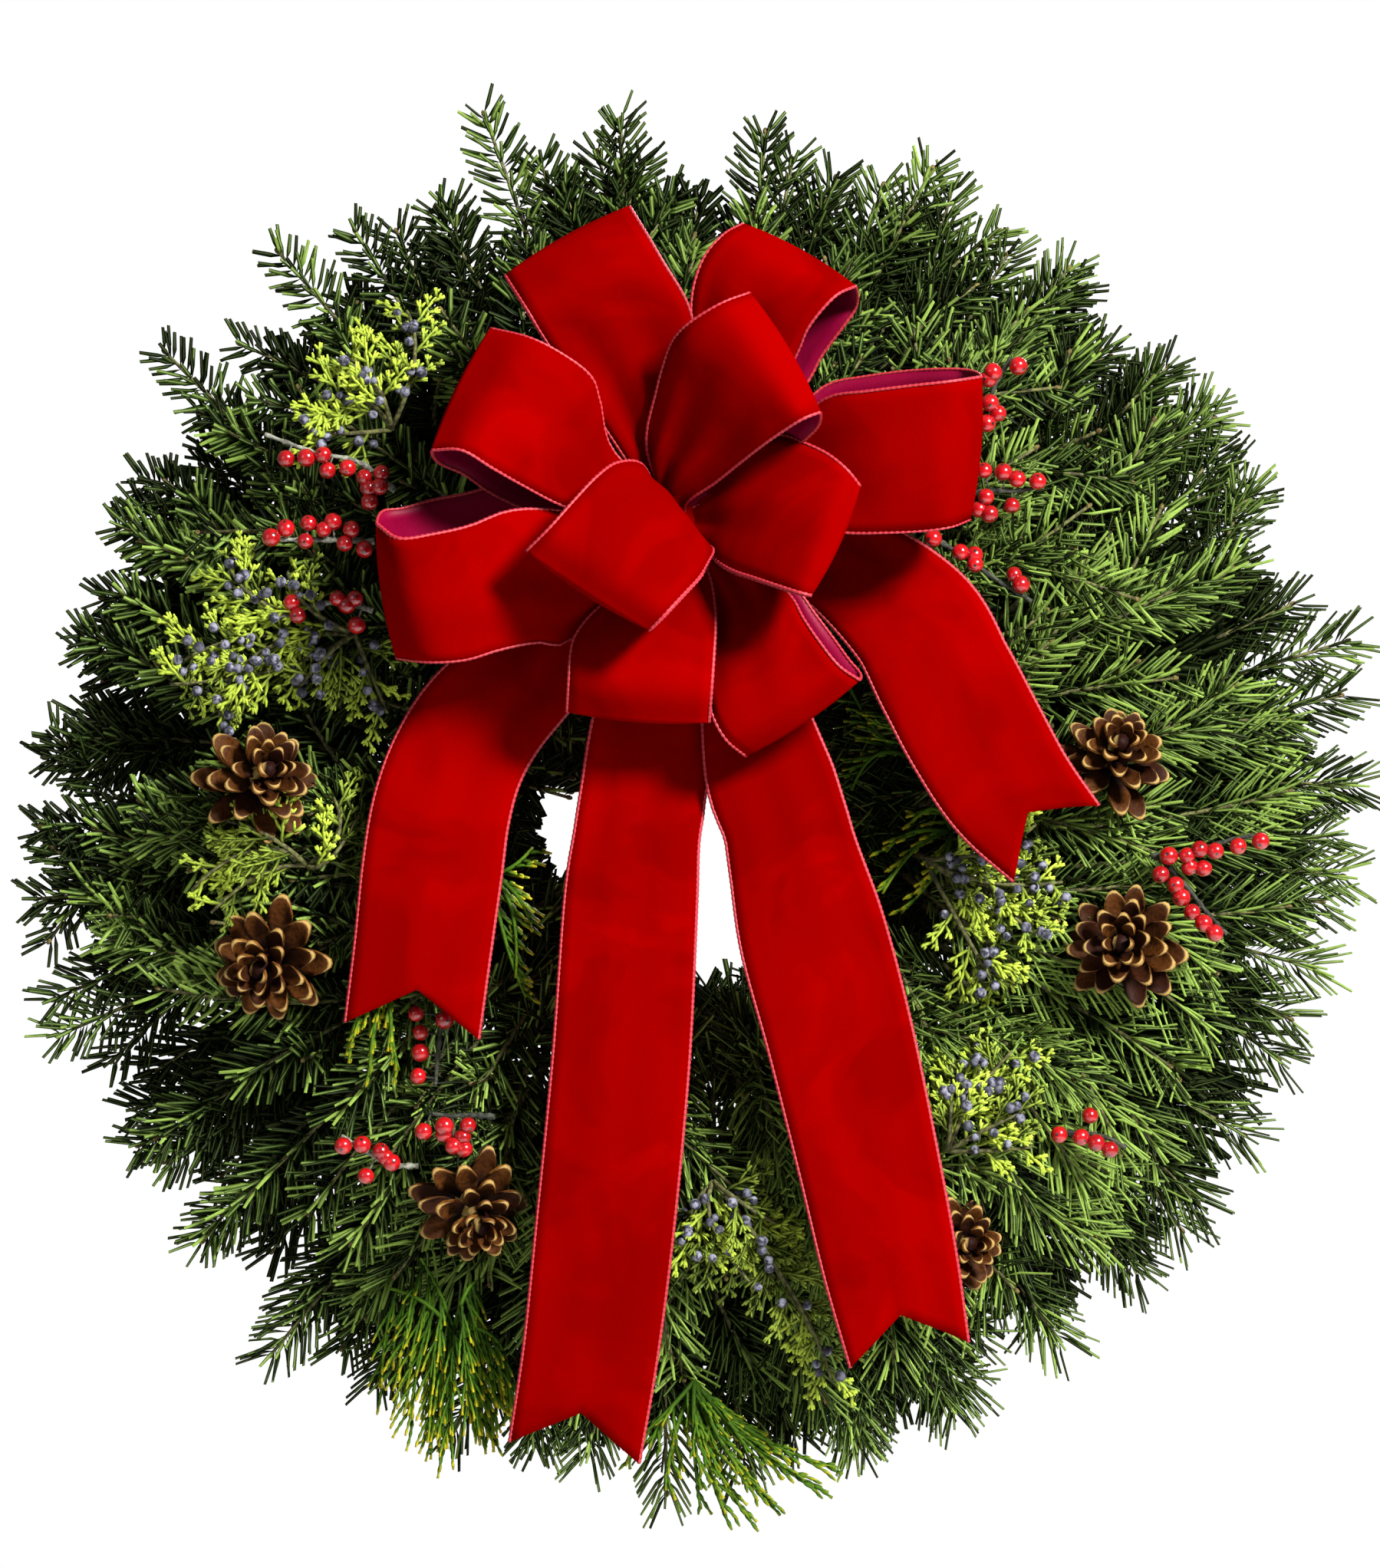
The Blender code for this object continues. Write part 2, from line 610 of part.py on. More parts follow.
# Slot of the pick, depth, tufts and berries on each branch, needle length and lean, and each branch's pixels
GREENS = {
    "juniper_left_top": (
        (1, 0.076, 2, 2, 0.014, 42),
        [[(510, 560), (470, 520), (412, 528)], [(522, 575), (540, 470), (530, 405)]],
    ),
    "juniper_left": (
        (1, 0.075, 2, 2, 0.015, 42),
        [[(462, 826), (360, 872), (222, 892)], [(440, 836), (350, 790), (300, 740)]],
    ),
    "juniper_left_low": (
        (0, 0.074, 2, 0, 0.016, 38),
        [[(400, 1128), (330, 1108), (250, 1160)], [(390, 1135), (430, 1120), (470, 1060)]],
    ),
    "juniper_right": (
        (-1, 0.070, 2, 2, 0.014, 42),
        [[(1205, 1120), (1265, 1150), (1325, 1150)], [(1210, 1130), (1265, 1230), (1295, 1280)]],
    ),
    "juniper_bottom_right": (
        (0, 0.074, 2, 3, 0.013, 42),
        [[(1235, 1500), (1270, 1430), (1320, 1370)], [(1225, 1510), (1290, 1470), (1335, 1450)]],
    ),
    "juniper_bottom": (
        (0, 0.073, 2, 2, 0.014, 42),
        [[(930, 1540), (990, 1620), (1060, 1740)], [(920, 1550), (930, 1600), (985, 1680)]],
    ),
    "cedar_bottom_left": (
        (1, 0.056, 2, 0, 0.036, 17),
        [[(590, 1740), (556, 1790), (545, 1860)], [(600, 1745), (622, 1810), (640, 1890)]],
    ),
    "cedar_bottom_right": (
        (1, 0.050, 2, 0, 0.032, 18),
        [[(905, 1800), (985, 1880), (1095, 1920)], [(900, 1805), (940, 1900), (985, 1975)]],
    ),
    "cedar_inner_left": ((-1, 0.062, 2, 0, 0.018, 34), [[(640, 1140), (668, 1190), (672, 1275)]]),
    "cedar_left_low": ((0, 0.078, 2, 0, 0.020, 26), [[(510, 1275), (490, 1330), (482, 1400)]]),
    "cedar_inner_right": ((-1, 0.060, 2, 0, 0.018, 30), [[(1240, 1085), (1195, 1105), (1150, 1165)]]),
    "cedar_inner_top_right": ((0, 0.053, 2, 0, 0.020, 28), [[(1180, 985), (1140, 950), (1105, 890)]]),
}


def build_green(name, numbers, branches):
    """A juniper or cedar spray on its pick."""
    slot, depth, tufts, berries, needle, lean = numbers
    draw = random.Random(name)
    finish = JUNIPER if name.startswith("juniper") else CEDAR
    routes = [[seen(p, depth + 0.003 * i) for i, p in enumerate(branch)] for branch in branches]
    root = routes[0][0]
    body = tube(name, lane_wire(slot, root.lerp(routes[0][1], 0.08)), [PICK_WIRE] * 4, 3, finish)

    def allowed(point):
        _, radius, reach = polar(point)
        return radius > HOLE_RADIUS + 0.001 and reach > fir_front(radius) + 0.001

    parts = []
    shape = (0.0014, needle, lean, 0.1)
    for i, (_, middle, end) in enumerate(routes):
        route = (root, middle * 2 - (root + end) / 2, end)
        parts.append(leafy(f"{name}_{i}", route, shape, tufts - (i > 0), allowed, finish, draw))
        for k in range(berries):
            side = Vector((0.7 * (-1) ** k, -1, draw.uniform(-0.6, 0.6))).normalized()
            centre = bezier(*route, (k + 0.8) / (berries + 0.6)) + side * (0.55 * BLUE_BERRY + 0.0008)
            parts.append(bead(f"{name}_berry_{i}_{k}", centre, BLUE_BERRY, finish))
    return fuse(body, parts)


KNOT = seen(KNOT_PIXEL, KNOT_DEPTH)

# Depths of the fold's two ends, the loop's half thickness, and pixels of its front face's two edges from the
# fold towards the knot
BOW_LOOPS = {
    "top_left": (
        (0.118, 0.122, 0.016),
        ((659, 359), (821, 269)),
        ((687, 403), (862, 337)),
        ((714, 447), (901, 409)),
        ((777, 540), (903, 491)),
    ),
    "top_right": (
        (0.106, 0.132, 0.017),
        ((969, 292), (1115, 373)),
        ((942, 307), (1087, 387)),
        ((917, 337), (1054, 425)),
        ((903, 381), (1038, 461)),
        ((901, 436), (1010, 513)),
        ((892, 529), (953, 562)),
    ),
    "left_upper": (
        (0.122, 0.144, 0.016),
        ((640, 428), (563, 587)),
        ((690, 440), (602, 587)),
        ((733, 461), (640, 609)),
        ((771, 490), (681, 632)),
        ((783, 524), (731, 658)),
        ((802, 590), (777, 672)),
    ),
    "left_lower": (
        (0.138, 0.120, 0.017),
        ((491, 683), (517, 858)),
        ((520, 702), (560, 863)),
        ((563, 697), (607, 860)),
        ((613, 686), (651, 847)),
        ((662, 667), (700, 837)),
        ((717, 664), (744, 834)),
        ((799, 672), (821, 749)),
    ),
    "front_top": (
        (0.150, 0.166, 0.015),
        ((977, 382), (1069, 537)),
        ((942, 395), (1046, 546)),
        ((906, 416), (1019, 563)),
        ((883, 436), (991, 583)),
        ((869, 461), (964, 604)),
        ((854, 513), (931, 630)),
        ((843, 584), (892, 658)),
    ),
    "right": (
        (0.146, 0.124, 0.018),
        ((1279, 491), (1264, 677)),
        ((1238, 497), (1238, 687)),
        ((1183, 503), (1200, 692)),
        ((1128, 510), (1150, 694)),
        ((1079, 518), (1106, 694)),
        ((1035, 551), (1052, 688)),
        ((964, 606), (980, 694)),
    ),
    "front_right": (
        (0.148, 0.164, 0.012),
        ((1121, 633), (1057, 776)),
        ((1104, 612), (1041, 772)),
        ((1079, 592), (1010, 762)),
        ((1049, 578), (983, 753)),
        ((1019, 568), (958, 745)),
        ((975, 579), (936, 732)),
        ((936, 617), (917, 710)),
    ),
    "front_left": (
        (0.158, 0.164, 0.015),
        ((687, 718), (847, 821)),
        ((717, 688), (869, 798)),
        ((750, 651), (892, 773)),
        ((780, 620), (912, 751)),
        ((805, 604), (923, 732)),
        ((835, 606), (928, 717)),
        ((854, 639), (909, 705)),
    ),
    "bottom_left": (
        (0.122, 0.126, 0.014),
        ((739, 927), (924, 941)),
        ((741, 891), (927, 902)),
        ((743, 858), (930, 858)),
        ((750, 828), (932, 820)),
        ((777, 795), (931, 790)),
        ((821, 760), (924, 751)),
    ),
    "bottom_right": (
        (0.116, 0.132, 0.012),
        ((972, 985), (1120, 886)),
        ((946, 963), (1093, 867)),
        ((928, 930), (1068, 836)),
        ((920, 886), (1046, 804)),
        ((917, 842), (1030, 776)),
        ((917, 793), (991, 738)),
    ),
}
LOOP_STEPS = 8
LOOP_START = 0.08
LOOP_PINCH = 0.14


def strip(name, sections, finish):
    """A ribbon solid through sections of (middle, half width, half thickness) vectors."""
    verts = []
    for middle, half, thick in sections:
        verts += [middle - half - thick, middle + half - thick, middle + half + thick, middle - half + thick]
    faces = ribbon_faces(len(sections), 4)
    last = len(verts) - 4
    faces += [(3, 2, 1, 0), (last, last + 1, last + 2, last + 3)]
    return node(name, verts, faces, finish)


def loop_sections(numbers, rows):
    """Sections of one loop, out from the knot along its front, round its fold and back behind."""
    depth_a, depth_b, half_thick = numbers
    fold_a, fold_b = seen(rows[0][0], depth_a), seen(rows[0][1], depth_b)
    wide = (fold_b - fold_a).normalized()
    normal = ((fold_a + fold_b) / 2 - KNOT).cross(wide).normalized()
    if normal.y > 0:
        normal = -normal
    pinch = wide * RIBBON_WIDTH / 2 * LOOP_PINCH
    last = len(rows)
    front_a, front_b = [KNOT - pinch], [KNOT + pinch]
    for k in range(last - 1, -1, -1):
        out = 1 - k / last
        lift = half_thick * loop_lift(math.acos(1 - 2 * out))
        front_a.append(seen(rows[k][0], KNOT_DEPTH + (depth_a - KNOT_DEPTH) * out + lift))
        front_b.append(seen(rows[k][1], KNOT_DEPTH + (depth_b - KNOT_DEPTH) * out + lift))
    corners = []
    for k in range(LOOP_STEPS + 1):
        turn = 2 * math.pi * (LOOP_START + (1 - 2 * LOOP_START) * k / LOOP_STEPS)
        out = (1 - math.cos(turn)) / 2
        behind = normal * 2 * half_thick * loop_lift(2 * math.pi - turn) if turn > math.pi else Vector()
        corners.append((smooth_route(front_a, out) - behind, smooth_route(front_b, out) - behind))
    sections = []
    for k, (a, b) in enumerate(corners):
        before, after = corners[max(k - 1, 0)], corners[min(k + 1, LOOP_STEPS)]
        along = after[0] + after[1] - before[0] - before[1]
        thick = along.cross(b - a).normalized() * RIBBON_THICKNESS / 2
        sections.append(((a + b) / 2, (b - a) / 2, thick))
    return sections


def loop_lift(turn):
    """How far a loop's front stands out from its middle, as a share of its half thickness."""
    return 1.25 * math.sin(turn) * math.sin(turn / 2)


def build_bow_loops():
    """The loops of one ribbon, folded out from its pinched middle."""
    knot = ball("bow_loops", Vector(), 1.0, Vector((0, 0, 1)), VELVET)
    for vertex in knot.data.vertices:
        vertex.co = KNOT + Vector(a * b for a, b in zip(vertex.co, KNOT_SIZE))
    loops = []
    for name, (numbers, *rows) in BOW_LOOPS.items():
        loops.append(strip("loop_" + name, loop_sections(numbers, rows), VELVET))
    return fuse(knot, loops)


# Pixels of a tail's left and right edge, and its depth, from its end to the knot
TAIL_LEFT_SHORT = (
    ((450, 1334), (624, 1354), 0.094),
    ((463, 1230), (640, 1232), 0.093),
    ((473, 1130), (653, 1140), 0.092),
    ((487, 1045), (663, 1068), 0.090),
    ((515, 965), (680, 1012), 0.088),
    ((560, 898), (712, 958), 0.086),
    ((650, 820), (770, 890), 0.0852),
    ((775, 730), (830, 795), 0.0850),
    ((872, 655), (872, 699), 0.0850),
)
TAIL_RIGHT_SHORT = (
    ((1320, 1147), (1434, 1052), 0.104),
    ((1243, 1075), (1388, 985), 0.101),
    ((1192, 1000), (1350, 915), 0.097),
    ((1152, 925), (1313, 845), 0.093),
    ((1113, 850), (1262, 762), 0.089),
    ((1040, 775), (1140, 685), 0.086),
    ((950, 725), (985, 660), 0.0850),
    ((896, 699), (896, 655), 0.0850),
)
TAIL_LEFT_LONG = (
    ((664, 1883), (833, 1906), 0.090),
    ((683, 1758), (857, 1762), 0.094),
    ((700, 1594), (878, 1597), 0.098),
    ((721, 1380), (898, 1382), 0.097),
    ((736, 1176), (910, 1176), 0.094),
    ((757, 1040), (920, 1040), 0.091),
    ((775, 930), (900, 930), 0.0895),
    ((806, 800), (862, 800), 0.0886),
    ((872, 653), (872, 701), 0.0883),
)
TAIL_RIGHT_LONG = (
    ((1109, 1784), (1262, 1748), 0.104),
    ((1075, 1666), (1245, 1628), 0.106),
    ((1043, 1533), (1219, 1488), 0.104),
    ((1002, 1370), (1187, 1332), 0.101),
    ((966, 1237), (1152, 1200), 0.099),
    ((942, 1125), (1116, 1100), 0.097),
    ((922, 1010), (1080, 990), 0.0945),
    ((912, 890), (1028, 880), 0.0925),
    ((904, 790), (962, 785), 0.0910),
    ((896, 701), (896, 653), 0.0900),
)
NOTCH_DEPTH = 0.018
TAIL_SECTIONS = 22


def build_tails(name, one, other):
    """Two tails of one ribbon, pinched at its middle behind the bow, with a swallow-tail cut at each end."""
    rows = [(seen(a, depth), seen(b, depth)) for a, b, depth in one]
    rows += [(seen(b, depth), seen(a, depth)) for a, b, depth in reversed(other)]
    middles = [(a + b) / 2 for a, b in rows]
    sides = [(b - a).normalized() for a, b in rows]
    widths = [Vector((min((b - a).length, RIBBON_WIDTH), 0, 0)) for a, b in rows]
    verts = []
    last = TAIL_SECTIONS
    for k in range(last + 1):
        t = k / last
        middle = smooth_route(middles, t)
        before, after = max(t - 0.008, 0), min(t + 0.008, 1)
        along = (smooth_route(middles, after) - smooth_route(middles, before)).normalized()
        side = smooth_route(sides, t)
        side = (side - along * side.dot(along)).normalized() * smooth_route(widths, t).x / 2
        thick = along.cross(side).normalized() * RIBBON_THICKNESS / 2
        notch = NOTCH_DEPTH if k == 0 else -NOTCH_DEPTH if k == last else 0.0
        centre = middle + along * notch
        verts += [middle - side - thick, centre - thick, middle + side - thick]
        verts += [middle + side + thick, centre + thick, middle - side + thick]
    faces = [f[::-1] for f in ring_faces(last + 1, 6)]
    end = last * 6
    faces += [(5, 4, 1, 0), (4, 3, 2, 1)]
    faces += [(end, end + 1, end + 4, end + 5), (end + 1, end + 2, end + 3, end + 4)]
    return node(name, verts, faces, VELVET)


def build_tie():
    """The wire that holds the bow: a loop round the pinched tails, its end led back over the ring's wire."""
    near = PINCH_BACK - RIBBON_THICKNESS / 2 - CLEARANCE - TIE_WIRE
    far = PINCH_FRONT + RIBBON_THICKNESS / 2 + CLEARANCE + TIE_WIRE
    pinch = seen(KNOT_PIXEL, (near + far) / 2) + Vector((0, 0, TIE_RISE))
    half, less = (far - near) / 2, TIE_CORNER
    quarter = [(half, TIE_HEIGHT - less), (half - less, TIE_HEIGHT)]
    round_it = quarter + [(-a, b) for a, b in quarter[::-1]]
    bent = [pinch + Vector((0, -a, b)) for a, b in round_it + [(-a, -b) for a, b in round_it]]
    points, faces = [], []
    for k, corner in enumerate(bent):
        outward = Vector((1, 0, 0)).cross(bent[(k + 1) % 8] - bent[k - 1]).normalized() * TIE_WIRE
        across = Vector((TIE_WIRE, 0, 0))
        points += [corner + across, corner + outward, corner - across, corner - outward]
        for j in range(4):
            low, high, step = 4 * k, 4 * ((k + 1) % 8), (j + 1) % 4
            faces.append((low + step, low + j, high + j, high + step))
    loop = node("bow_tie_wire", points, faces, WIRE)
    ring_top = 2 * RING_CORNER - abs(pinch.x) * math.tan(math.pi / RING_SEGMENTS)
    over = ring_top + CLEARANCE + TIE_WIRE
    path = [
        bent[3] + Vector((0, 0, -0.002)),
        Vector((pinch.x, -0.070, pinch.z + 0.006)),
        Vector((pinch.x, -0.030, RING_WIRE + 0.0115)),
        Vector((pinch.x, -0.003, over + RING_WIRE)),
        Vector((pinch.x, -0.0003, over)),
    ]
    return fuse(loop, [tube("tie_end", path, [TIE_WIRE] * len(path), 4, WIRE, Vector((1, 0, 0)))])


def main():
    """Every piece. Fir needles keep clear of the bow's wire and of the cones."""
    keep_clear = [(Vector((KNOT.x, -0.001, 0.004)), Vector((KNOT.x, -0.090, KNOT.z + 0.002)), 0.0045)]
    for pixel, size, tilt, _ in CONES.values():
        base, axis = cone_seat(pixel, size, tilt)
        keep_clear.append((base + axis * 0.022, base + axis * 0.040, 0.0325 * size))
    build_ring()
    for k in range(BUNCHES):
        build_bunch(k, keep_clear)
    for i, (name, row) in enumerate(CONES.items()):
        build_cone(name, *row, 0.4 * i)
    for name, row in BERRY_PICKS.items():
        build_berry_pick(name, *row)
    for name, row in GREENS.items():
        build_green(name, *row)
    build_bow_loops()
    build_tails("bow_tails_short", TAIL_LEFT_SHORT, TAIL_RIGHT_SHORT)
    build_tails("bow_tails_long", TAIL_LEFT_LONG, TAIL_RIGHT_LONG)
    build_tie()


main()
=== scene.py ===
"""Looks of the christmas wreath: fir, cones, berries, juniper and cedar on a wire ring, and a velvet bow.

Every piece is built from the same numbers as the solids: angles run round the wreath from 0 at its right to
90 at its top, radii are from its centre, and depths are in front of the ring's plane. Lengths are in metres.
Pixels are the photograph's, counted from its left and top.
"""

import math

import bpy
import numpy as np
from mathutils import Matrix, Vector


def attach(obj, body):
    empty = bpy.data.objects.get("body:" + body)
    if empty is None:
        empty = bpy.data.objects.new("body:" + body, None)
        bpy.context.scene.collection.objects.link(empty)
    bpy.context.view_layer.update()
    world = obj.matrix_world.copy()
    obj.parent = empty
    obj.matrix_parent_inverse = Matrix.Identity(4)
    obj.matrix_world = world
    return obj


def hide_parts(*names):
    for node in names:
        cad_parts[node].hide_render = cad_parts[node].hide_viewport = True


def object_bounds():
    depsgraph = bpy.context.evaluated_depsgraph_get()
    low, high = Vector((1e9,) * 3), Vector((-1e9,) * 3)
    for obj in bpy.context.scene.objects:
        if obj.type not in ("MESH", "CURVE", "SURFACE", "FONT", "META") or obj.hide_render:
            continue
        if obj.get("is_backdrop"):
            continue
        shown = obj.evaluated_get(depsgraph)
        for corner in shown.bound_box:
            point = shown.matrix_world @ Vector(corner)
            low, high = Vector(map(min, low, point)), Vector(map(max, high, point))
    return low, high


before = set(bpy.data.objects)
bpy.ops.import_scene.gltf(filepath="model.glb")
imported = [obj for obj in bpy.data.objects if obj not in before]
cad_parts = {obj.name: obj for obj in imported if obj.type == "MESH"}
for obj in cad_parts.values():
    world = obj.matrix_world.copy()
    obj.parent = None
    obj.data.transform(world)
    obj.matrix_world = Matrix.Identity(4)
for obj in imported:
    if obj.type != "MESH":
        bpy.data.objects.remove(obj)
cad_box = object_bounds()

# Wire ring, clamps and bunches
RING_RADIUS = 0.1524
RING_WIRE = 0.0019
RING_CORNER = RING_WIRE / math.cos(math.radians(30))
CLAMP_WIRE = 0.0011
CLAMP_OPENING = 0.22
CLAMP_BEND = 0.003
CLEARANCE = 0.0004
BUNCHES = 16
BUNCH_STEP = 360 / BUNCHES
BUNDLE_RADIUS = 0.0086
BUNDLE_FLAT = BUNDLE_RADIUS * math.cos(math.radians(30))
BUNDLE_DEPTH = RING_WIRE + CLEARANCE + BUNDLE_FLAT
BUNDLE_REACH = 5.6
STEM_SPACING = 0.0056
FIR_CREST_RADIUS = 0.165
FIR_CREST_SPREAD = 0.08
FIR_RIM_DEPTH = 0.022
FIR_CREST_DEPTH = 0.046
HOLE_RADIUS = 0.0745
CENTRE_Z = -(RING_RADIUS - RING_CORNER)
RING_POINTS = 192

# Where sprays reach further into the hole: from this angle to that, down to this radius, and outside a square
# whose half side is the last number
HOLE_TUFTS = (
    (0, 62, 0.058, 0.055), (122, 172, 0.044, 0.042), (172, 207, 0.068, 0.062), (207, 240, 0.058, 0.055),
    (318, 360, 0.058, 0.055),
)

# Pick wires
PICK_WIRE = 0.001
PICK_PITCH = RING_CORNER + PICK_WIRE + CLEARANCE
PICK_BEND = 0.012
PICK_CURVE = 0.008
PICK_ABOVE = 0.002

# Cones and berries
CONE_HEIGHT = 0.044
CONE_CORE = 0.007
CONE_SCALES = 31
SCALE_REACH = 0.0234
SCALE_WIDTH = 0.0112
SCALE_ROWS = 8
SCALE_COLUMNS = 7
RED_BERRY = 0.0039
BLUE_BERRY = 0.0026
GOLDEN_ANGLE = 137.508

# Bow
RIBBON_WIDTH = 0.0635
RIBBON_CLOTH = 0.0008
CLOTH_COLUMNS = 13
STITCH = 0.0012
STITCH_THICK = (0.00098, 0.00074)
KNOT_PIXEL = (884, 677)
KNOT_DEEP = 0.0155
KNOT_BALL = 0.01
PINCH_BACK = 0.085
PINCH_FRONT = 0.0896
RIBBON_THICKNESS = 0.0012
TIE_WIRE = 0.0008
TIE_HEIGHT = 0.0165
TIE_RISE = -0.0055
KNOT_DEPTH = PINCH_FRONT + RIBBON_THICKNESS / 2 + 2 * (CLEARANCE + TIE_WIRE) + 0.85 * KNOT_DEEP

# How the photograph sees it
PIXEL = 0.000342
EYE_DISTANCE = 2.6
RIM_DEPTH = 0.02
PICTURE_WIDTH = 1799
MIDDLE_PIXEL = (899.5, 1022.0)
EYE_ABOVE_CENTRE = 0.0106
SENSOR = 36.0

FRONT = np.array([0.0, -1.0, 0.0])
RIGHT = np.array([1.0, 0.0, 0.0])

# Seeds of the random draws; each cone, pick and spray adds its own number
FIR_SEED = 11
CONE_SEED = 300
BERRY_SEED = 400
GREEN_SEED = 500


def unit(vectors):
    """Vectors at length 1."""
    size = np.linalg.norm(vectors, axis=-1, keepdims=True)
    return vectors / np.maximum(size, 1e-12)


def place(angle, radius, depth):
    """The point at this angle round the wreath, radius from its centre and depth in front of the ring."""
    turn = math.radians(angle)
    return np.array([radius * math.cos(turn), -depth, CENTRE_Z + radius * math.sin(turn)])


def seen(pixel, depth):
    """The point that the photograph shows at this pixel, at this depth."""
    scale = PIXEL * (1 - (depth - RIM_DEPTH) / EYE_DISTANCE)
    across = (pixel[0] - MIDDLE_PIXEL[0]) * scale
    up = (MIDDLE_PIXEL[1] - pixel[1]) * scale
    return np.array([across, -depth, CENTRE_Z + EYE_ABOVE_CENTRE + up])


def pairs(numbers):
    return np.reshape(numbers, (-1, 2))


def polar(points):
    """Angles, radii and depths of points."""
    height = points[..., 2] - CENTRE_Z
    angle = np.degrees(np.arctan2(height, points[..., 0]))
    return angle, np.hypot(points[..., 0], height), -points[..., 1]


def fir_front(radius):
    """How far forward the fir reaches at this radius."""
    away = (radius - FIR_CREST_RADIUS) / FIR_CREST_SPREAD
    return FIR_RIM_DEPTH + FIR_CREST_DEPTH * np.exp(-away * away)


def bezier(start, bend, end, t):
    t = np.asarray(t, float)[..., None]
    return start * (1 - t) ** 2 + bend * 2 * t * (1 - t) + end * t * t


def heading(route, t):
    """The direction of a bezier route at t."""
    return unit(bezier(*route, np.minimum(t + 0.02, 1)) - bezier(*route, np.maximum(t - 0.02, 0)))


def way_along(line):
    """How far along a line each of its points is."""
    return np.concatenate([[0], np.cumsum(np.linalg.norm(np.diff(line, axis=0), axis=1))])


def smooth_route(points, t):
    """Points on the smooth curve through the given points, t from 0 to 1."""
    rows = np.asarray(points, float)
    last = len(rows) - 1
    padded = np.concatenate([[rows[0] * 2 - rows[1]], rows, [rows[-1] * 2 - rows[-2]]])
    at = np.clip(np.asarray(t, float), 0, 1) * last
    i = np.minimum(at.astype(int), last - 1)
    f = (at - i)[..., None]
    a, b, c, d = padded[i], padded[i + 1], padded[i + 2], padded[i + 3]
    bend = (a * 2 - b * 5 + c * 4 - d) * f * f + (b * 3 - a - c * 3 + d) * f * f * f
    return 0.5 * (b * 2 + (c - a) * f + bend)


def stretch(low, high, value):
    """0 below low, 1 above high and a smooth step between."""
    share = np.clip((value - low) / (high - low), 0, 1)
    return share * share * (3 - 2 * share)


class Pile:
    """Triangles gathered for one piece. Each point has a grain: tone, place across and place along."""

    def __init__(self):
        self.parts, self.count = [], 0

    def add(self, points, faces, grain, finish=0, smooth=False):
        points = np.asarray(points, float).reshape(-1, 3)
        faces = np.asarray(faces, int).reshape(-1, 3) + self.count
        finish, smooth = (np.broadcast_to(value, len(faces)) for value in (finish, smooth))
        self.parts.append((points, faces, np.reshape(grain, points.shape), finish, smooth))
        self.count += len(points)


def piece(name, pile, finishes, slot, *nodes):
    """An object from a pile, riding on the wreath and standing for the nodes named."""
    points, faces, grains, paints, smooths = (np.concatenate(part) for part in zip(*pile.parts))
    mesh = bpy.data.meshes.new(name)
    mesh.vertices.add(len(points))
    mesh.vertices.foreach_set("co", points.ravel())
    mesh.loops.add(faces.size)
    mesh.loops.foreach_set("vertex_index", faces.ravel())
    mesh.polygons.add(len(faces))
    mesh.polygons.foreach_set("loop_start", np.arange(len(faces)) * 3)
    mesh.polygons.foreach_set("material_index", paints)
    mesh.polygons.foreach_set("use_smooth", smooths)
    grain = mesh.color_attributes.new("grain", "FLOAT_COLOR", "POINT")
    grain.data.foreach_set("color", np.insert(grains, 3, 1.0, axis=1).ravel())
    for finish in finishes:
        mesh.materials.append(finish)
    mesh.update(calc_edges=True)
    made = bpy.data.objects.new(name, mesh)
    bpy.context.scene.collection.objects.link(made)
    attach(made, "root")
    if nodes:
        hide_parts(*nodes)
    return made


def frames_along(path, normal):
    """Directions along, beside and in front of a path, with no twist."""
    along = unit(np.concatenate([[path[1] - path[0]], path[2:] - path[:-2], [path[-1] - path[-2]]]))
    faces = np.empty_like(path)
    face = np.asarray(normal, float)
    for k, line in enumerate(along):
        face = face - line * face.dot(line)
        face = face / max(np.linalg.norm(face), 1e-9)
        faces[k] = face
    return along, np.cross(along, faces), faces


def tube(pile, path, radii, sides, tone=0.5, finish=0, normal=FRONT, closed=False, flat=1.0):
    """A round or flattened tube along a path, closed at its ends or on itself."""
    path = np.asarray(path, float)
    rings = len(path)
    radii = np.broadcast_to(np.asarray(radii, float), rings)
    if closed:
        along = unit(np.roll(path, -1, 0) - np.roll(path, 1, 0))
        face = unit(np.broadcast_to(normal, path.shape) - along * (along @ normal)[:, None])
        side = np.cross(along, face)
    else:
        along, side, face = frames_along(path, normal)
    turn = 2 * np.pi * np.arange(sides) / sides
    wheel = side[:, None] * np.cos(turn)[:, None] + face[:, None] * np.sin(turn)[:, None] * flat
    points = path[:, None] + wheel * radii[:, None, None]
    k, j = np.meshgrid(np.arange(rings if closed else rings - 1), np.arange(sides), indexing="ij")
    low, high, step = k * sides, (k + 1) % rings * sides, (j + 1) % sides
    a, b, c, d = low + j, low + step, high + step, high + j
    faces = [np.stack([b, a, d], -1).reshape(-1, 3), np.stack([b, d, c], -1).reshape(-1, 3)]
    grain = np.zeros((rings, sides, 3))
    grain[..., 0] = tone
    # place across is 1 on the side that faces normal, where the foliage finish paints its highlight
    grain[..., 1] = 0.5 + 0.5 * np.sin(turn)
    grain[..., 2] = np.linspace(0, 1, rings)[:, None]
    if not closed:
        fan = np.arange(1, sides - 1)
        last = (rings - 1) * sides
        faces += [np.stack([fan * 0, fan, fan + 1], -1), np.stack([fan * 0, fan + 1, fan], -1) + last]
    pile.add(points, np.concatenate(faces), grain, finish, True)


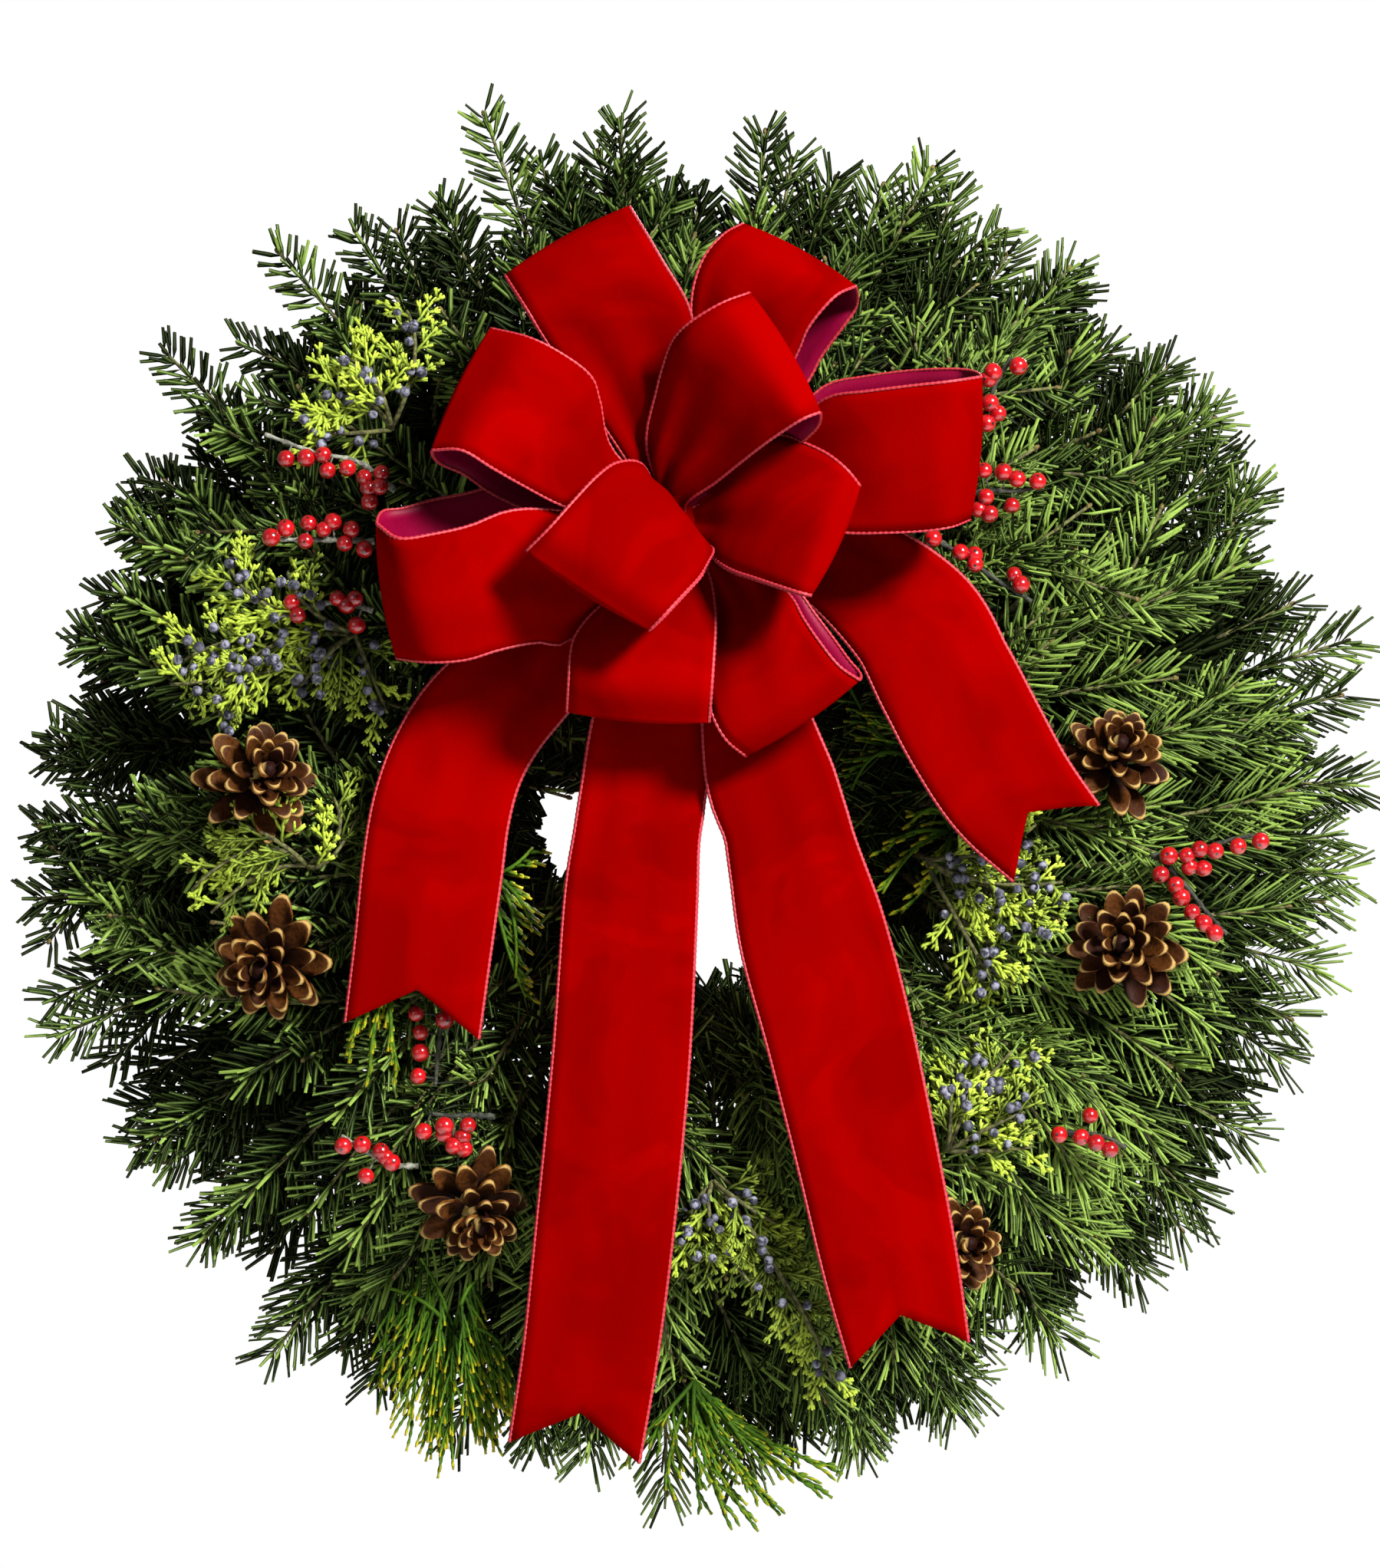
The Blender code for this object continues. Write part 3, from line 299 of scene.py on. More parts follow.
def ball(pile, centre, radius, axis, tone=0.5, finish=0, sides=12, rings=8, squash=1.0):
    """A berry with one end of its axis at the pole of its grain."""
    axis = unit(np.asarray(axis, float))
    side = unit(np.cross(axis, [0.31, 0.2, 0.9]))
    face = np.cross(axis, side)
    lean = np.pi * np.arange(1, rings) / rings
    turn = 2 * np.pi * np.arange(sides) / sides
    wheel = side * np.cos(turn)[:, None] + face * np.sin(turn)[:, None]
    body = wheel[None] * np.sin(lean)[:, None, None] + axis * squash * np.cos(lean)[:, None, None]
    points = np.concatenate([[axis * squash], body.reshape(-1, 3), [-axis * squash]]) * radius + centre
    faces = []
    last = len(points) - 1
    for j in range(sides):
        step = (j + 1) % sides
        faces += [(0, 1 + j, 1 + step), (last, last - sides + step, last - sides + j)]
        for k in range(rings - 2):
            low, high = 1 + k * sides, 1 + (k + 1) * sides
            faces += [(low + j, high + j, high + step), (low + j, high + step, low + step)]
    share = np.concatenate([[0.0], np.repeat(lean / np.pi, sides), [1.0]])
    pile.add(points, faces, np.stack([share * 0 + tone, share * 0, share], -1), finish, True)


def shell_faces(rows, columns):
    """Triangles over a grid of points, over a second grid behind it, and of the wall between them."""
    spots = np.arange(rows * columns).reshape(rows, columns)
    a, b, c, d = spots[:-1, :-1], spots[:-1, 1:], spots[1:, 1:], spots[1:, :-1]
    front = np.stack([a, b, c, a, c, d], -1).reshape(-1, 3)
    near = np.concatenate([spots[0], spots[1:, -1], spots[-1, -2::-1], spots[-2:0:-1, 0]])
    far, back = np.roll(near, -1), spots.size
    wall = [np.stack([far, near, near + back], -1), np.stack([far, near + back, far + back], -1)]
    return front, front[:, ::-1] + back, np.concatenate(wall)


# A needle's points: its foot, three at its belly and three at its end
NEEDLE_POINTS = 7
NEEDLE_FACES = np.array((
    (0, 2, 1), (0, 3, 2), (0, 1, 3), (1, 2, 5), (1, 5, 4), (2, 3, 6), (2, 6, 5), (3, 1, 4), (3, 4, 6),
    (4, 5, 6),
))
NEEDLE_BELLY = 0.4


def needles(pile, root, along, across, length, width, curl, tone, blunt):
    """Flat needles with a ridge on top, narrow at the foot. curl is where their ends bend to."""
    ridge = np.cross(across, along)
    length, width = length[:, None], width[:, None]
    points = [root]
    for share, half, rise, bow in ((NEEDLE_BELLY, 0.5, 0.34, 0.03), (0.97, 0.5 * blunt, 0.3 * blunt, 0.18)):
        middle = root + along * length * share + curl * length * bow
        side = across * width * half
        points += [middle + side, middle - side, middle + ridge * width * rise]
    count = len(root)
    faces = NEEDLE_FACES[None] + NEEDLE_POINTS * np.arange(count)[:, None, None]
    grain = np.zeros((count, NEEDLE_POINTS, 3))
    grain[..., 0] = tone[:, None]
    # the ridge points, where the foliage finish paints its highlight
    grain[:, (3, 6), 1] = 1.0
    grain[:, 1:4, 2] = NEEDLE_BELLY
    grain[:, 4:, 2] = 1.0
    pile.add(np.stack(points, 1), faces, grain)


# Looks

class Tree:
    """A material's nodes. A socket takes a number, a colour or another node's output."""

    def __init__(self, name, roughness, **sockets):
        self.made = bpy.data.materials.new(name)
        self.made.use_nodes = True
        self.nodes, self.links = self.made.node_tree.nodes, self.made.node_tree.links
        self.shader = self.nodes["Principled BSDF"]
        sockets = {key.replace("_", " "): value for key, value in sockets.items()}
        self.feed(self.shader, {"Roughness": roughness, **sockets})
        self.place = self.nodes.new("ShaderNodeTexCoord").outputs["Object"]

    def feed(self, node, sockets):
        for key, value in sockets.items():
            socket = node.inputs[key]
            if isinstance(value, bpy.types.NodeSocket):
                self.links.new(value, socket)
            else:
                socket.default_value = (*value, 1.0) if socket.type == "RGBA" else value
        return node.outputs

    def grain(self):
        """Tone, place across and place along, from the mesh."""
        stored = self.nodes.new("ShaderNodeVertexColor")
        stored.layer_name = "grain"
        return self.feed(self.nodes.new("ShaderNodeSeparateColor"), {0: stored.outputs["Color"]})[:3]

    def noise(self, scale, detail=2.0, distortion=0.0, stretch_by=(1, 1, 1)):
        spread = self.feed(self.nodes.new("ShaderNodeMapping"), {"Scale": stretch_by, "Vector": self.place})
        sockets = {"Scale": scale, "Detail": detail, "Distortion": distortion, "Vector": spread[0]}
        return self.feed(self.nodes.new("ShaderNodeTexNoise"), sockets)["Fac"]

    def span(self, value, low, high, new_low=0.0, new_high=1.0):
        """A smooth step of the value from low to high."""
        made = self.nodes.new("ShaderNodeMapRange")
        made.interpolation_type = "SMOOTHSTEP"
        sockets = {"Value": value, "From Min": low, "From Max": high, "To Min": new_low, "To Max": new_high}
        return self.feed(made, sockets)[0]

    def times(self, a, b):
        made = self.nodes.new("ShaderNodeMath")
        made.operation = "MULTIPLY"
        return self.feed(made, {0: a, 1: b})[0]

    def coats(self, colour, *layers):
        """Colours laid over the first one, each by its share."""
        for share, coat in layers:
            made = self.nodes.new("ShaderNodeMix")
            made.data_type = "RGBA"
            colour = self.feed(made, {0: share, 6: colour, 7: coat})[2]
        return colour

    def finish(self, colour, bump=None, depth=0.0002, strength=0.4, **sockets):
        self.feed(self.shader, {"Base Color": colour, **sockets})
        if bump is not None:
            marks = {"Strength": strength, "Distance": depth, "Height": bump}
            self.feed(self.shader, {"Normal": self.feed(self.nodes.new("ShaderNodeBump"), marks)[0]})
        return self.made


def leaf_finish(name, dark, mid, bright, painted_rib_highlight, tip, roughness):
    """Foliage: each needle's own tone, a painted highlight along its ridge, a coloured tip, painted shade at
    its foot and fine dark spots.
    """
    tree = Tree(name, roughness, Specular_IOR_Level=0.04)
    tone, across, along = tree.grain()
    colour = tree.coats(
        dark,
        (tree.span(tone, 0.0, 0.5), mid),
        (tree.span(tone, 0.5, 1.0), bright),
        # painted highlight: the ridge of each needle and the forward side of each shoot are painted paler
        (tree.times(tree.span(across, 0.35, 1.0), tree.span(tone, 0.0, 0.6, 0.1, 0.8)), painted_rib_highlight),
        (tree.times(tree.span(along, 0.7, 1.0), tree.span(tone, 0.3, 0.9, 0.0, 0.8)), tip),
        # painted shade: each needle and shoot is painted darker towards its foot
        (tree.span(along, 0.0, 0.6, 0.7, 0.0), dark),
        (tree.span(tree.noise(900.0, 3.0), 0.45, 0.8, 0.0, 0.35), dark),
    )
    return tree.finish(colour, tree.noise(1600.0), strength=0.3)


FIR = leaf_finish(
    "fir_needles", (0.0008, 0.0026, 0.0003), (0.015, 0.04, 0.002), (0.185, 0.3, 0.04), (0.25, 0.33, 0.1),
    (0.19, 0.29, 0.05), 0.55,
)
JUNIPER = leaf_finish(
    "juniper_leaves", (0.002, 0.004, 0.001), (0.038, 0.06, 0.004), (0.43, 0.54, 0.03), (0.34, 0.45, 0.06),
    (0.44, 0.53, 0.07), 0.55,
)
CEDAR = leaf_finish(
    "cedar_leaves", (0.002, 0.007, 0.001), (0.024, 0.08, 0.003), (0.42, 0.39, 0.012), (0.075, 0.15, 0.012),
    (0.48, 0.39, 0.014), 0.5,
)


def bark_finish(name, dark, pale, scale):
    """Bark: pale patches and cracks of this scale on a dark ground."""
    tree = Tree(name, 0.8, Specular_IOR_Level=0.3)
    rough = tree.noise(scale, 5.0, 0.4)
    return tree.finish(tree.coats(dark, (tree.span(rough, 0.35, 0.65), pale)), rough, 0.0006, 0.8)


FIR_STEM = bark_finish("fir_stem", (0.03, 0.028, 0.009), (0.12, 0.12, 0.035), 420.0)
FIR_BUD = bark_finish("fir_bud", (0.05, 0.034, 0.008), (0.15, 0.11, 0.03), 700.0)
FIR_WOOD = bark_finish("fir_bundle_bark", (0.018, 0.012, 0.007), (0.08, 0.058, 0.034), 300.0)
TWIG_WOOD = bark_finish("berry_twig_bark", (0.07, 0.07, 0.052), (0.26, 0.26, 0.205), 380.0)
DARK_TWIG = bark_finish("dark_twig_bark", (0.008, 0.01, 0.006), (0.05, 0.052, 0.036), 380.0)


def wire_finish(name, colour, worn, metallic, roughness):
    """Wire: a coat with worn, rougher patches."""
    tree = Tree(name, roughness, Metallic=metallic)
    marks = tree.noise(240.0, 4.0)
    shade = tree.coats(colour, (tree.span(marks, 0.55, 0.72), worn))
    return tree.finish(shade, tree.noise(700.0), 0.0001, Roughness=tree.span(marks, 0.3, 0.7, roughness, 0.6))


GREEN_WIRE = wire_finish("green_wire", (0.02, 0.085, 0.035), (0.06, 0.075, 0.06), 0.25, 0.35)
TIE = wire_finish("tie_wire", (0.35, 0.35, 0.34), (0.13, 0.12, 0.11), 1.0, 0.3)


def cone_finish():
    """Chestnut scales, golden brown outside, painted shade near the core, cream rims and fine streaks."""
    tree = Tree("cone_scales", 0.6, Specular_IOR_Level=0.08)
    tone, across, along = tree.grain()
    streak = tree.noise(600.0, 4.0)
    colour = tree.coats(
        (0.012, 0.002, 0.001),
        (tree.span(tone, 0.0, 0.5), (0.068, 0.021, 0.003)),
        (tree.span(tone, 0.5, 1.0), (0.17, 0.064, 0.01)),
        (tree.span(streak, 0.4, 0.7, 0.0, 0.6), (0.012, 0.003, 0.001)),
        # painted shade: each scale is painted darker towards its foot at the core, where the scales crowd
        (tree.span(along, 0.62, 0.15), (0.004, 0.001, 0.001)),
        (tree.span(across, 0.72, 0.98, 0.0, 0.9), (0.38, 0.245, 0.075)),
    )
    return tree.finish(colour, streak, 0.0005, 0.7)


def red_berry_finish():
    """Glossy red with soft mottling and a dark eye at the berry's end."""
    tree = Tree("red_berry", 0.22, Specular_IOR_Level=0.45, Coat_Weight=0.8, Coat_Roughness=0.06)
    tone, _, along = tree.grain()
    mottle = tree.noise(330.0, 3.0)
    colour = tree.coats(
        (0.28, 0.002, 0.004),
        (tree.span(mottle, 0.3, 0.7), (0.43, 0.005, 0.008)),
        (tree.span(tone, 0.5, 1.0, 0.0, 0.5), (0.15, 0.001, 0.003)),
        (tree.span(along, 0.075, 0.045), (0.02, 0.01, 0.008)),
    )
    return tree.finish(colour, mottle, strength=0.25)


def blue_berry_finish():
    """Dark blue with a dusty bloom that is rubbed off in places."""
    tree = Tree("juniper_berry", 0.6, Specular_IOR_Level=0.3)
    tone, _, along = tree.grain()
    bloom = tree.noise(420.0, 4.0)
    colour = tree.coats(
        (0.018, 0.018, 0.03),
        (tree.span(bloom, 0.4, 0.6), (0.19, 0.19, 0.24)),
        (tree.span(tone, 0.4, 1.0, 0.0, 0.7), (0.028, 0.03, 0.042)),
        (tree.span(along, 0.12, 0.06), (0.02, 0.02, 0.03)),
    )
    return tree.finish(colour, bloom, strength=0.3)


def velvet_finish():
    """Velvet: a soft pile brushed in patches, with a fine nap."""
    sheen = {"Sheen_Weight": 0.06, "Sheen_Roughness": 0.4, "Sheen_Tint": (1.0, 0.0, 0.0)}
    tree = Tree("velvet", 0.9, Specular_IOR_Level=0.0, **sheen)
    deep, mid, bright = (0.138, 0.0, 0.0), (0.168, 0.0, 0.0), (0.198, 0.0, 0.0)
    brushed, nap = tree.noise(16.0, 3.0, 0.8), tree.noise(2600.0, 2.0)
    colour = tree.coats(
        deep,
        (tree.span(brushed, 0.38, 0.48), mid),
        (tree.span(brushed, 0.52, 0.62), bright),
        (tree.span(nap, 0.4, 0.75, 0.0, 0.3), deep),
    )
    return tree.finish(colour, nap, 0.00025, 0.45)


def satin_finish():
    """The ribbon's back: a wine satin with fine weft lines."""
    tree = Tree("ribbon_satin", 0.45, Specular_IOR_Level=0.08, Anisotropic=0.3)
    weft = tree.noise(1800.0, stretch_by=(1, 1, 0.2))
    return tree.finish(tree.coats((0.13, 0.0, 0.014), (weft, (0.21, 0.001, 0.028))), weft)


def edging_finish():
    """The stitched edge: coral thread over the edge wire, darker between its stitches."""
    tree = Tree("ribbon_edging", 0.55, Specular_IOR_Level=0.4)
    thread, between = tree.noise(1500.0), tree.span(tree.grain()[0], 0.2, 0.8, 0.0, 0.5)
    layers = (thread, (0.5, 0.04, 0.05)), (between, (0.22, 0.003, 0.014))
    return tree.finish(tree.coats((0.34, 0.008, 0.02), *layers), thread)


CONE, RED, BLUE = cone_finish(), red_berry_finish(), blue_berry_finish()
VELVET, SATIN, EDGING = velvet_finish(), satin_finish(), edging_finish()


# Fir

TWIG_POINTS = 9
TWIG_THICK = (0.0015, 0.0008)
NEEDLE_WIDTH = 0.0018

# Where the needles at the ends of each bunch's rim twigs are: angle from the bunch's middle, and radius
RIM_TIPS = (
    (-9.3, 0.306, 3.0, 0.312), (-2.7, 0.285, 4.2, 0.301, 9.2, 0.291),
    (-1.3, 0.303, 3.9, 0.294, -8.1, 0.283, 10.8, 0.309), (-9.5, 0.314, 4.9, 0.313, -6.0, 0.3),
    (-5.5, 0.318, 5.3, 0.332, 0.3, 0.292), (-3.6, 0.307, 2.8, 0.318), (-7.2, 0.32, 7.5, 0.293),
    (-4.8, 0.291, 4.9, 0.285), (-3.3, 0.304, 8.6, 0.309), (-2.0, 0.289, 7.9, 0.3), (-3.7, 0.317, 5.9, 0.293),
    (-9.6, 0.307, 9.3, 0.315), (-7.0, 0.305, 3.4, 0.303), (-9.9, 0.302, 1.0, 0.298),
    (-4.1, 0.296, 3.2, 0.296), (-3.1, 0.296, 5.3, 0.302, 8.8, 0.273),
)

# More twigs where the rim is fullest: angle and radius of their needles' ends
FULL_RIM = (
    (9.8, 0.304), (77.0, 0.298), (81.0, 0.302), (98.0, 0.305), (103.0, 0.306), (113.0, 0.3), (117.0, 0.298),
    (148.0, 0.286), (151.5, 0.291), (196.8, 0.306), (211.5, 0.298), (214.0, 0.292), (256.5, 0.3),
    (261.0, 0.302), (286.0, 0.298), (293.0, 0.298),
)

# Rim twigs: radius and depth of their roots and bends, how far their needles reach past their tips, the
# needles' length and the share of the twig that is bare
RIM_ROOT = (0.158, 0.014)
RIM_BEND = (0.225, 0.024)
RIM_PAST = 0.009
RIM_LENGTH = 0.0168
RIM_BARE = 0.35

# Rounds of twigs at the back, painted dark as shade, then of lighter ones towards the front, where those
# lying deeper and those reaching in towards the hole are painted darker as shade: how many, the radius and
# depth of root, bend and tip, needle length and width, tone and the share of the twig that is bare
BACK_ROUNDS = (
    (64, (0.15, 0.002), (0.205, 0.003), (0.268, 0.006), 0.018, 0.002, 0.3, 0.25),
    (66, (0.15, 0.005), (0.205, 0.009), (0.264, 0.011), 0.018, 0.0026, 0.12, 0.4),
    (50, (0.15, 0.007), (0.195, 0.01), (0.236, 0.014), 0.024, 0.0036, 0.0, 0.1),
    (46, (0.15, 0.009), (0.18, 0.015), (0.21, 0.02), 0.024, 0.004, 0.0, 0.0),
    (44, (0.135, 0.008), (0.16, 0.012), (0.18, 0.015), 0.024, 0.004, 0.0, 0.0),
    (48, (0.15, 0.003), (0.12, 0.003), (0.096, 0.005), 0.022, 0.003, 0.2, 0.0),
)
ROUNDS = (
    (66, (0.158, 0.01), (0.222, 0.02), (0.284, 0.015), 0.0165, NEEDLE_WIDTH, 0.4, 0.4),
    (52, (0.15, 0.018), (0.21, 0.044), (0.263, 0.027), 0.0165, NEEDLE_WIDTH, 0.5, 0.4),
    (48, (0.132, 0.028), (0.188, 0.066), (0.24, 0.045), 0.0165, NEEDLE_WIDTH, 0.56, 0.3),
    (42, (0.112, 0.032), (0.158, 0.074), (0.212, 0.06), 0.016, NEEDLE_WIDTH, 0.58, 0.25),
    (34, (0.1, 0.032), (0.126, 0.064), (0.172, 0.066), 0.016, NEEDLE_WIDTH, 0.48, 0.2),
    (30, (0.165, 0.028), (0.132, 0.062), (0.101, 0.036), 0.016, NEEDLE_WIDTH, 0.32, 0.25),
    (30, (0.15, 0.012), (0.118, 0.026), (0.091, 0.016), 0.016, NEEDLE_WIDTH, 0.18, 0.25),
)

# Rows of needles along a twig: angle from its front, lean from the stem, share of the full length, pitch and
# how much lighter they are painted, as painted light and shade: the forward-facing row lighter, the slanting
# row darker
NEEDLE_ROWS = ((92, 80, 1.0, 0.004, 0.0), (62, 72, 0.9, 0.0052, -0.16), (22, 58, 0.6, 0.0085, 0.12))
RIM_ROWS = ((92, 84, 1.0, 0.0034, 0.0), (62, 74, 0.9, 0.005, -0.16), (22, 58, 0.6, 0.0085, 0.12))
BACK_ROWS = ((90, 66, 1.0, 0.0042, 0.0), (45, 58, 0.8, 0.0065, 0.0))

# Tufts at the hole: their step round it, and each third one's depth, tone, needle width and rows
# The deeper tufts are painted darker, as painted shade.
TUFT_STEP = 2.3
TUFTS = (
    (0.004, 0.0, 0.0034, BACK_ROWS),
    (0.014, 0.12, NEEDLE_WIDTH, NEEDLE_ROWS),
    (0.026, 0.24, NEEDLE_WIDTH, NEEDLE_ROWS),
)
FORWARD_TWIGS = 64

# How far needles stand out of the fir's dome, how far forward and back they reach at most, and how far they
# stay off the middle of each cone
NEEDLES_PROUD = 0.013
NEEDLES_FRONT = 0.079
NEEDLES_BEHIND = 0.001
CONE_MIDDLE = 0.02
CONE_CLEAR = 0.024
# PALEST_SIDE: the angle round the wreath where needles are finest and palest, their paleness partly painted
# light
PALEST_SIDE = -42
BUD = 0.0012

# Pixel of each cone's middle, size, how far its axis turns to the right and up, and its pick wire's place
CONES = {
    "cone_left_upper": ((342, 1012), 1.0, (0.3, 0.25), 1),
    "cone_left_lower": ((346, 1258), 1.0, (-0.2, -0.15), 1),
    "cone_bottom_left": ((622, 1584), 0.94, (0.25, -0.4), 0),
    "cone_right_upper": ((1456, 982), 0.94, (0.1, 0.45), 0),
    "cone_right_lower": ((1464, 1232), 1.02, (-0.15, 0.1), 0),
    "cone_bottom_right": ((1252, 1622), 0.88, (0.35, 0.1), 0),
}


def cone_seat(pixel, size, tilt, _):
    """Where a cone's base sits on the fir, its axis and its size."""
    axis = unit(np.array([tilt[0], -1.0, tilt[1]]))
    seat = fir_front(polar(seen(pixel, 0.085))[1]) + 0.0035
    base = seen(pixel, seat + CONE_HEIGHT * size * 0.5) - axis * CONE_HEIGHT * size * 0.5
    base[1] = min(base[1], -seat)
    return base, axis, size


CONE_SEATS = {name: cone_seat(*row) for name, row in CONES.items()}


def free_of_things(points):
    """Which points are outside the hole, under the fir's dome and clear of the cones."""
    angle, radius, depth = polar(points)
    reach = np.maximum(np.abs(points[:, 0]), np.abs(points[:, 2] - CENTRE_Z))
    free = radius > HOLE_RADIUS + 0.002
    for low, high, inner, half in HOLE_TUFTS:
        free |= (angle % 360 > low) & (angle % 360 < high) & (radius > inner) & (reach > half)
    free &= depth < np.minimum(fir_front(radius) + NEEDLES_PROUD, NEEDLES_FRONT)
    for base, axis, size in CONE_SEATS.values():
        free &= np.linalg.norm(points - (base + axis * CONE_MIDDLE * size), axis=1) > CONE_CLEAR * size
    return free


def fir_twig(piles, spots, length, wide, tone, bare, draw, rows=NEEDLE_ROWS):
    """A twig with needles in rows on both its sides and along its front, and a bud at its tip.

    Its spots are the angle, radius and depth of its root, bend and tip, and it belongs to the bunch that its
    root lies in. On the wreath's lower right the needles are longer, finer and more curved, and are painted
    paler, partly their own colour and partly painted light, as if that side were lit more. Needles that lie
    deep under the fir's front are painted darker, as painted shade.
    """
    pile = piles[int(spots[0][0] % 360 // BUNCH_STEP) % BUNCHES]
    route = [place(*spot) for spot in spots]
    path = bezier(*route, np.linspace(0, 1, TWIG_POINTS))
    fine = 0.5 + 0.5 * math.cos(math.radians(float(polar(path[4])[0]) - PALEST_SIDE))
    whole = way_along(path)[-1]
    tube(pile, path, np.linspace(*TWIG_THICK, TWIG_POINTS), 5, tone, 1)
    grown = []
    for row, (turn, lean, share, pitch, lift) in enumerate(rows):
        count = max(int(whole * (1 - bare) / pitch), 3)
        for hand in (-1, 1):
            shift = 0.5 * (row % 2) + 0.25 * (hand + 1) + draw.uniform(-0.3, 0.3, count)
            t = np.clip(bare + (1 - bare) * (np.arange(count) + shift) / count, 0, 1)
            along = heading(route, t)
            side = unit(np.cross(along, FRONT))
            face = np.cross(side, along)
            azimuth = np.radians(hand * (turn + draw.uniform(-20, 20, count)))[:, None]
            slant = (lean - 13 * fine) * (1.06 - 0.44 * t**4) + draw.uniform(-11, 11, count)
            slant = np.radians(slant)[:, None]
            head = along * np.cos(slant) + (side * np.sin(azimuth) + face * np.cos(azimuth)) * np.sin(slant)
            ends = np.minimum(stretch(-0.05, 0.3, t - bare), 1 - 0.45 * stretch(0.8, 1.0, t))
            size = length * (1 + 0.2 * fine) * share * (0.45 + 0.55 * ends)
            curl = (along + face * 0.3) * (1 + 1.5 * fine)
            size = size * draw.uniform(0.86, 1.12, count)
            grown.append((bezier(*route, t), head, curl, size, np.full(count, lift)))
    root, head, curl, size, lift = (np.concatenate(part) for part in zip(*grown))
    tip = root + head * size[:, None]
    keep = free_of_things(tip) & (tip[:, 1] < NEEDLES_BEHIND)
    root, head, curl, size, lift = root[keep], head[keep], curl[keep], size[keep], lift[keep]
    across = unit(np.cross(head, FRONT) + draw.normal(0, 0.22, head.shape))
    across = unit(across - head * (across * head).sum(1, keepdims=True))
    front = rows is not BACK_ROWS
    width = wide * (1.06 - 0.34 * fine * front) * draw.uniform(0.88, 1.12, len(root))
    _, radius, depth = polar(root + head * size[:, None] * 0.5)
    # painted shade: needles deep under the fir's front are painted darker, less so near the back
    inner = stretch(0.0, 0.018, fir_front(radius) - depth) * stretch(0.0, 0.01, depth)
    # painted light: needles towards the palest side are painted lighter, those away from it darker
    lift += (0.4 * fine - 0.21) * front + draw.normal(0, 0.33 if front else 0.05, len(root))
    shade = np.clip((tone + lift) * (1 - 0.88 * inner), 0, 1)
    needles(pile, root, head, across, size, width, curl, shade, 0.92 if tone == 0 else 0.8)
    ball(pile, path[-1], BUD, path[-1] - path[-2], 0.5, 2, 6, 4, 1.5)


def fir_bundle(pile, k, draw):
    """The cut stems of a bunch, side by side in their clamp."""
    middle = bunch_middle(k)
    turns = [math.radians(60 * j + 30) for j in range(6)]
    for out, deep in [(0.0, 0.0)] + [(STEM_SPACING * math.cos(a), STEM_SPACING * math.sin(a)) for a in turns]:
        back, on = BUNDLE_REACH * draw.uniform(0.85, 1.0, 2)
        around = np.linspace(middle - back, middle + on, 7)
        path = [place(angle, RING_RADIUS + out, BUNDLE_DEPTH + deep * 0.9) for angle in around]
        tube(pile, path, BUNDLE_RADIUS * 0.33 * draw.uniform(0.9, 1.0, 7), 7, 0.5, 3)


def bunch_middle(k):
    """The angle of a bunch's middle, and of its clamp."""
    return BUNCH_STEP * (k + 0.5)


def leaning(angle):
    """How far the twigs at this angle lean to one side, in degrees: neighbours lean alike."""
    turn = math.radians(angle)
    return 15 * math.sin(3 * turn + 0.6) + 13 * math.sin(8 * turn + 2.0)


def build_rim(piles, k, draw):
    """The twigs whose ends stand out round a bunch's rim."""
    middle = bunch_middle(k)
    for i, (off, reach) in enumerate(pairs(RIM_TIPS[k])):
        root = middle + np.clip(off * 0.7 + draw.uniform(-2, 2), -9, 9)
        bend = root + 0.4 * (off + middle - root) + draw.uniform(-1.5, 1.5)
        tip = (middle + off, reach - RIM_PAST, RIM_ROOT[1] + draw.uniform(0, 0.006))
        spots = ((root, *RIM_ROOT), (bend, RIM_BEND[0], RIM_BEND[1] - 0.004 * (i % 2)), tip)
        shade = 0.5 + draw.uniform(-0.2, 0.2)
        fir_twig(piles, spots, RIM_LENGTH, NEEDLE_WIDTH, shade, RIM_BARE, draw, RIM_ROWS)


def build_full_rim(piles, draw):
    """The twigs that fill the rim where it is fullest."""
    for angle, reach in FULL_RIM:
        bend = angle + draw.uniform(-3, 3)
        spots = ((angle, *RIM_ROOT), (bend, RIM_BEND[0], 0.022), (angle, reach - RIM_PAST, 0.015))
        fir_twig(piles, spots, RIM_LENGTH, NEEDLE_WIDTH, 0.45, RIM_BARE, draw, RIM_ROWS)


def build_round(piles, row, draw, rows):
    """One round of twigs. Those in front lean with their neighbours, and their tones differ."""
    count, root, bend, tip, length, wide, tone, bare = row
    front = rows is NEEDLE_ROWS
    start = draw.uniform(0, 360)
    for i in range(count):
        angle = start + 360 * (i + draw.uniform(-0.35, 0.35)) / count
        spread = leaning(angle) + draw.normal(0, 19) if front else draw.normal(0, 9)
        lean = math.radians(min(max(spread, -56), 56))
        swirl = math.degrees(math.tan(lean) * abs(tip[0] - root[0]) / tip[0])
        swing = draw.uniform(-0.009, 0.009)
        spots = (
            (angle, *root),
            (angle + 0.3 * swirl + draw.normal(0, 1), bend[0], bend[1] + draw.uniform(-0.003, 0.002)),
            (angle + swirl, tip[0] + swing, tip[1] + draw.uniform(-0.004, 0.003)),
        )
        shade = tone + (draw.uniform(-0.26, 0.26) if front else 0)
        fir_twig(piles, spots, length, wide, shade, bare, draw, rows)


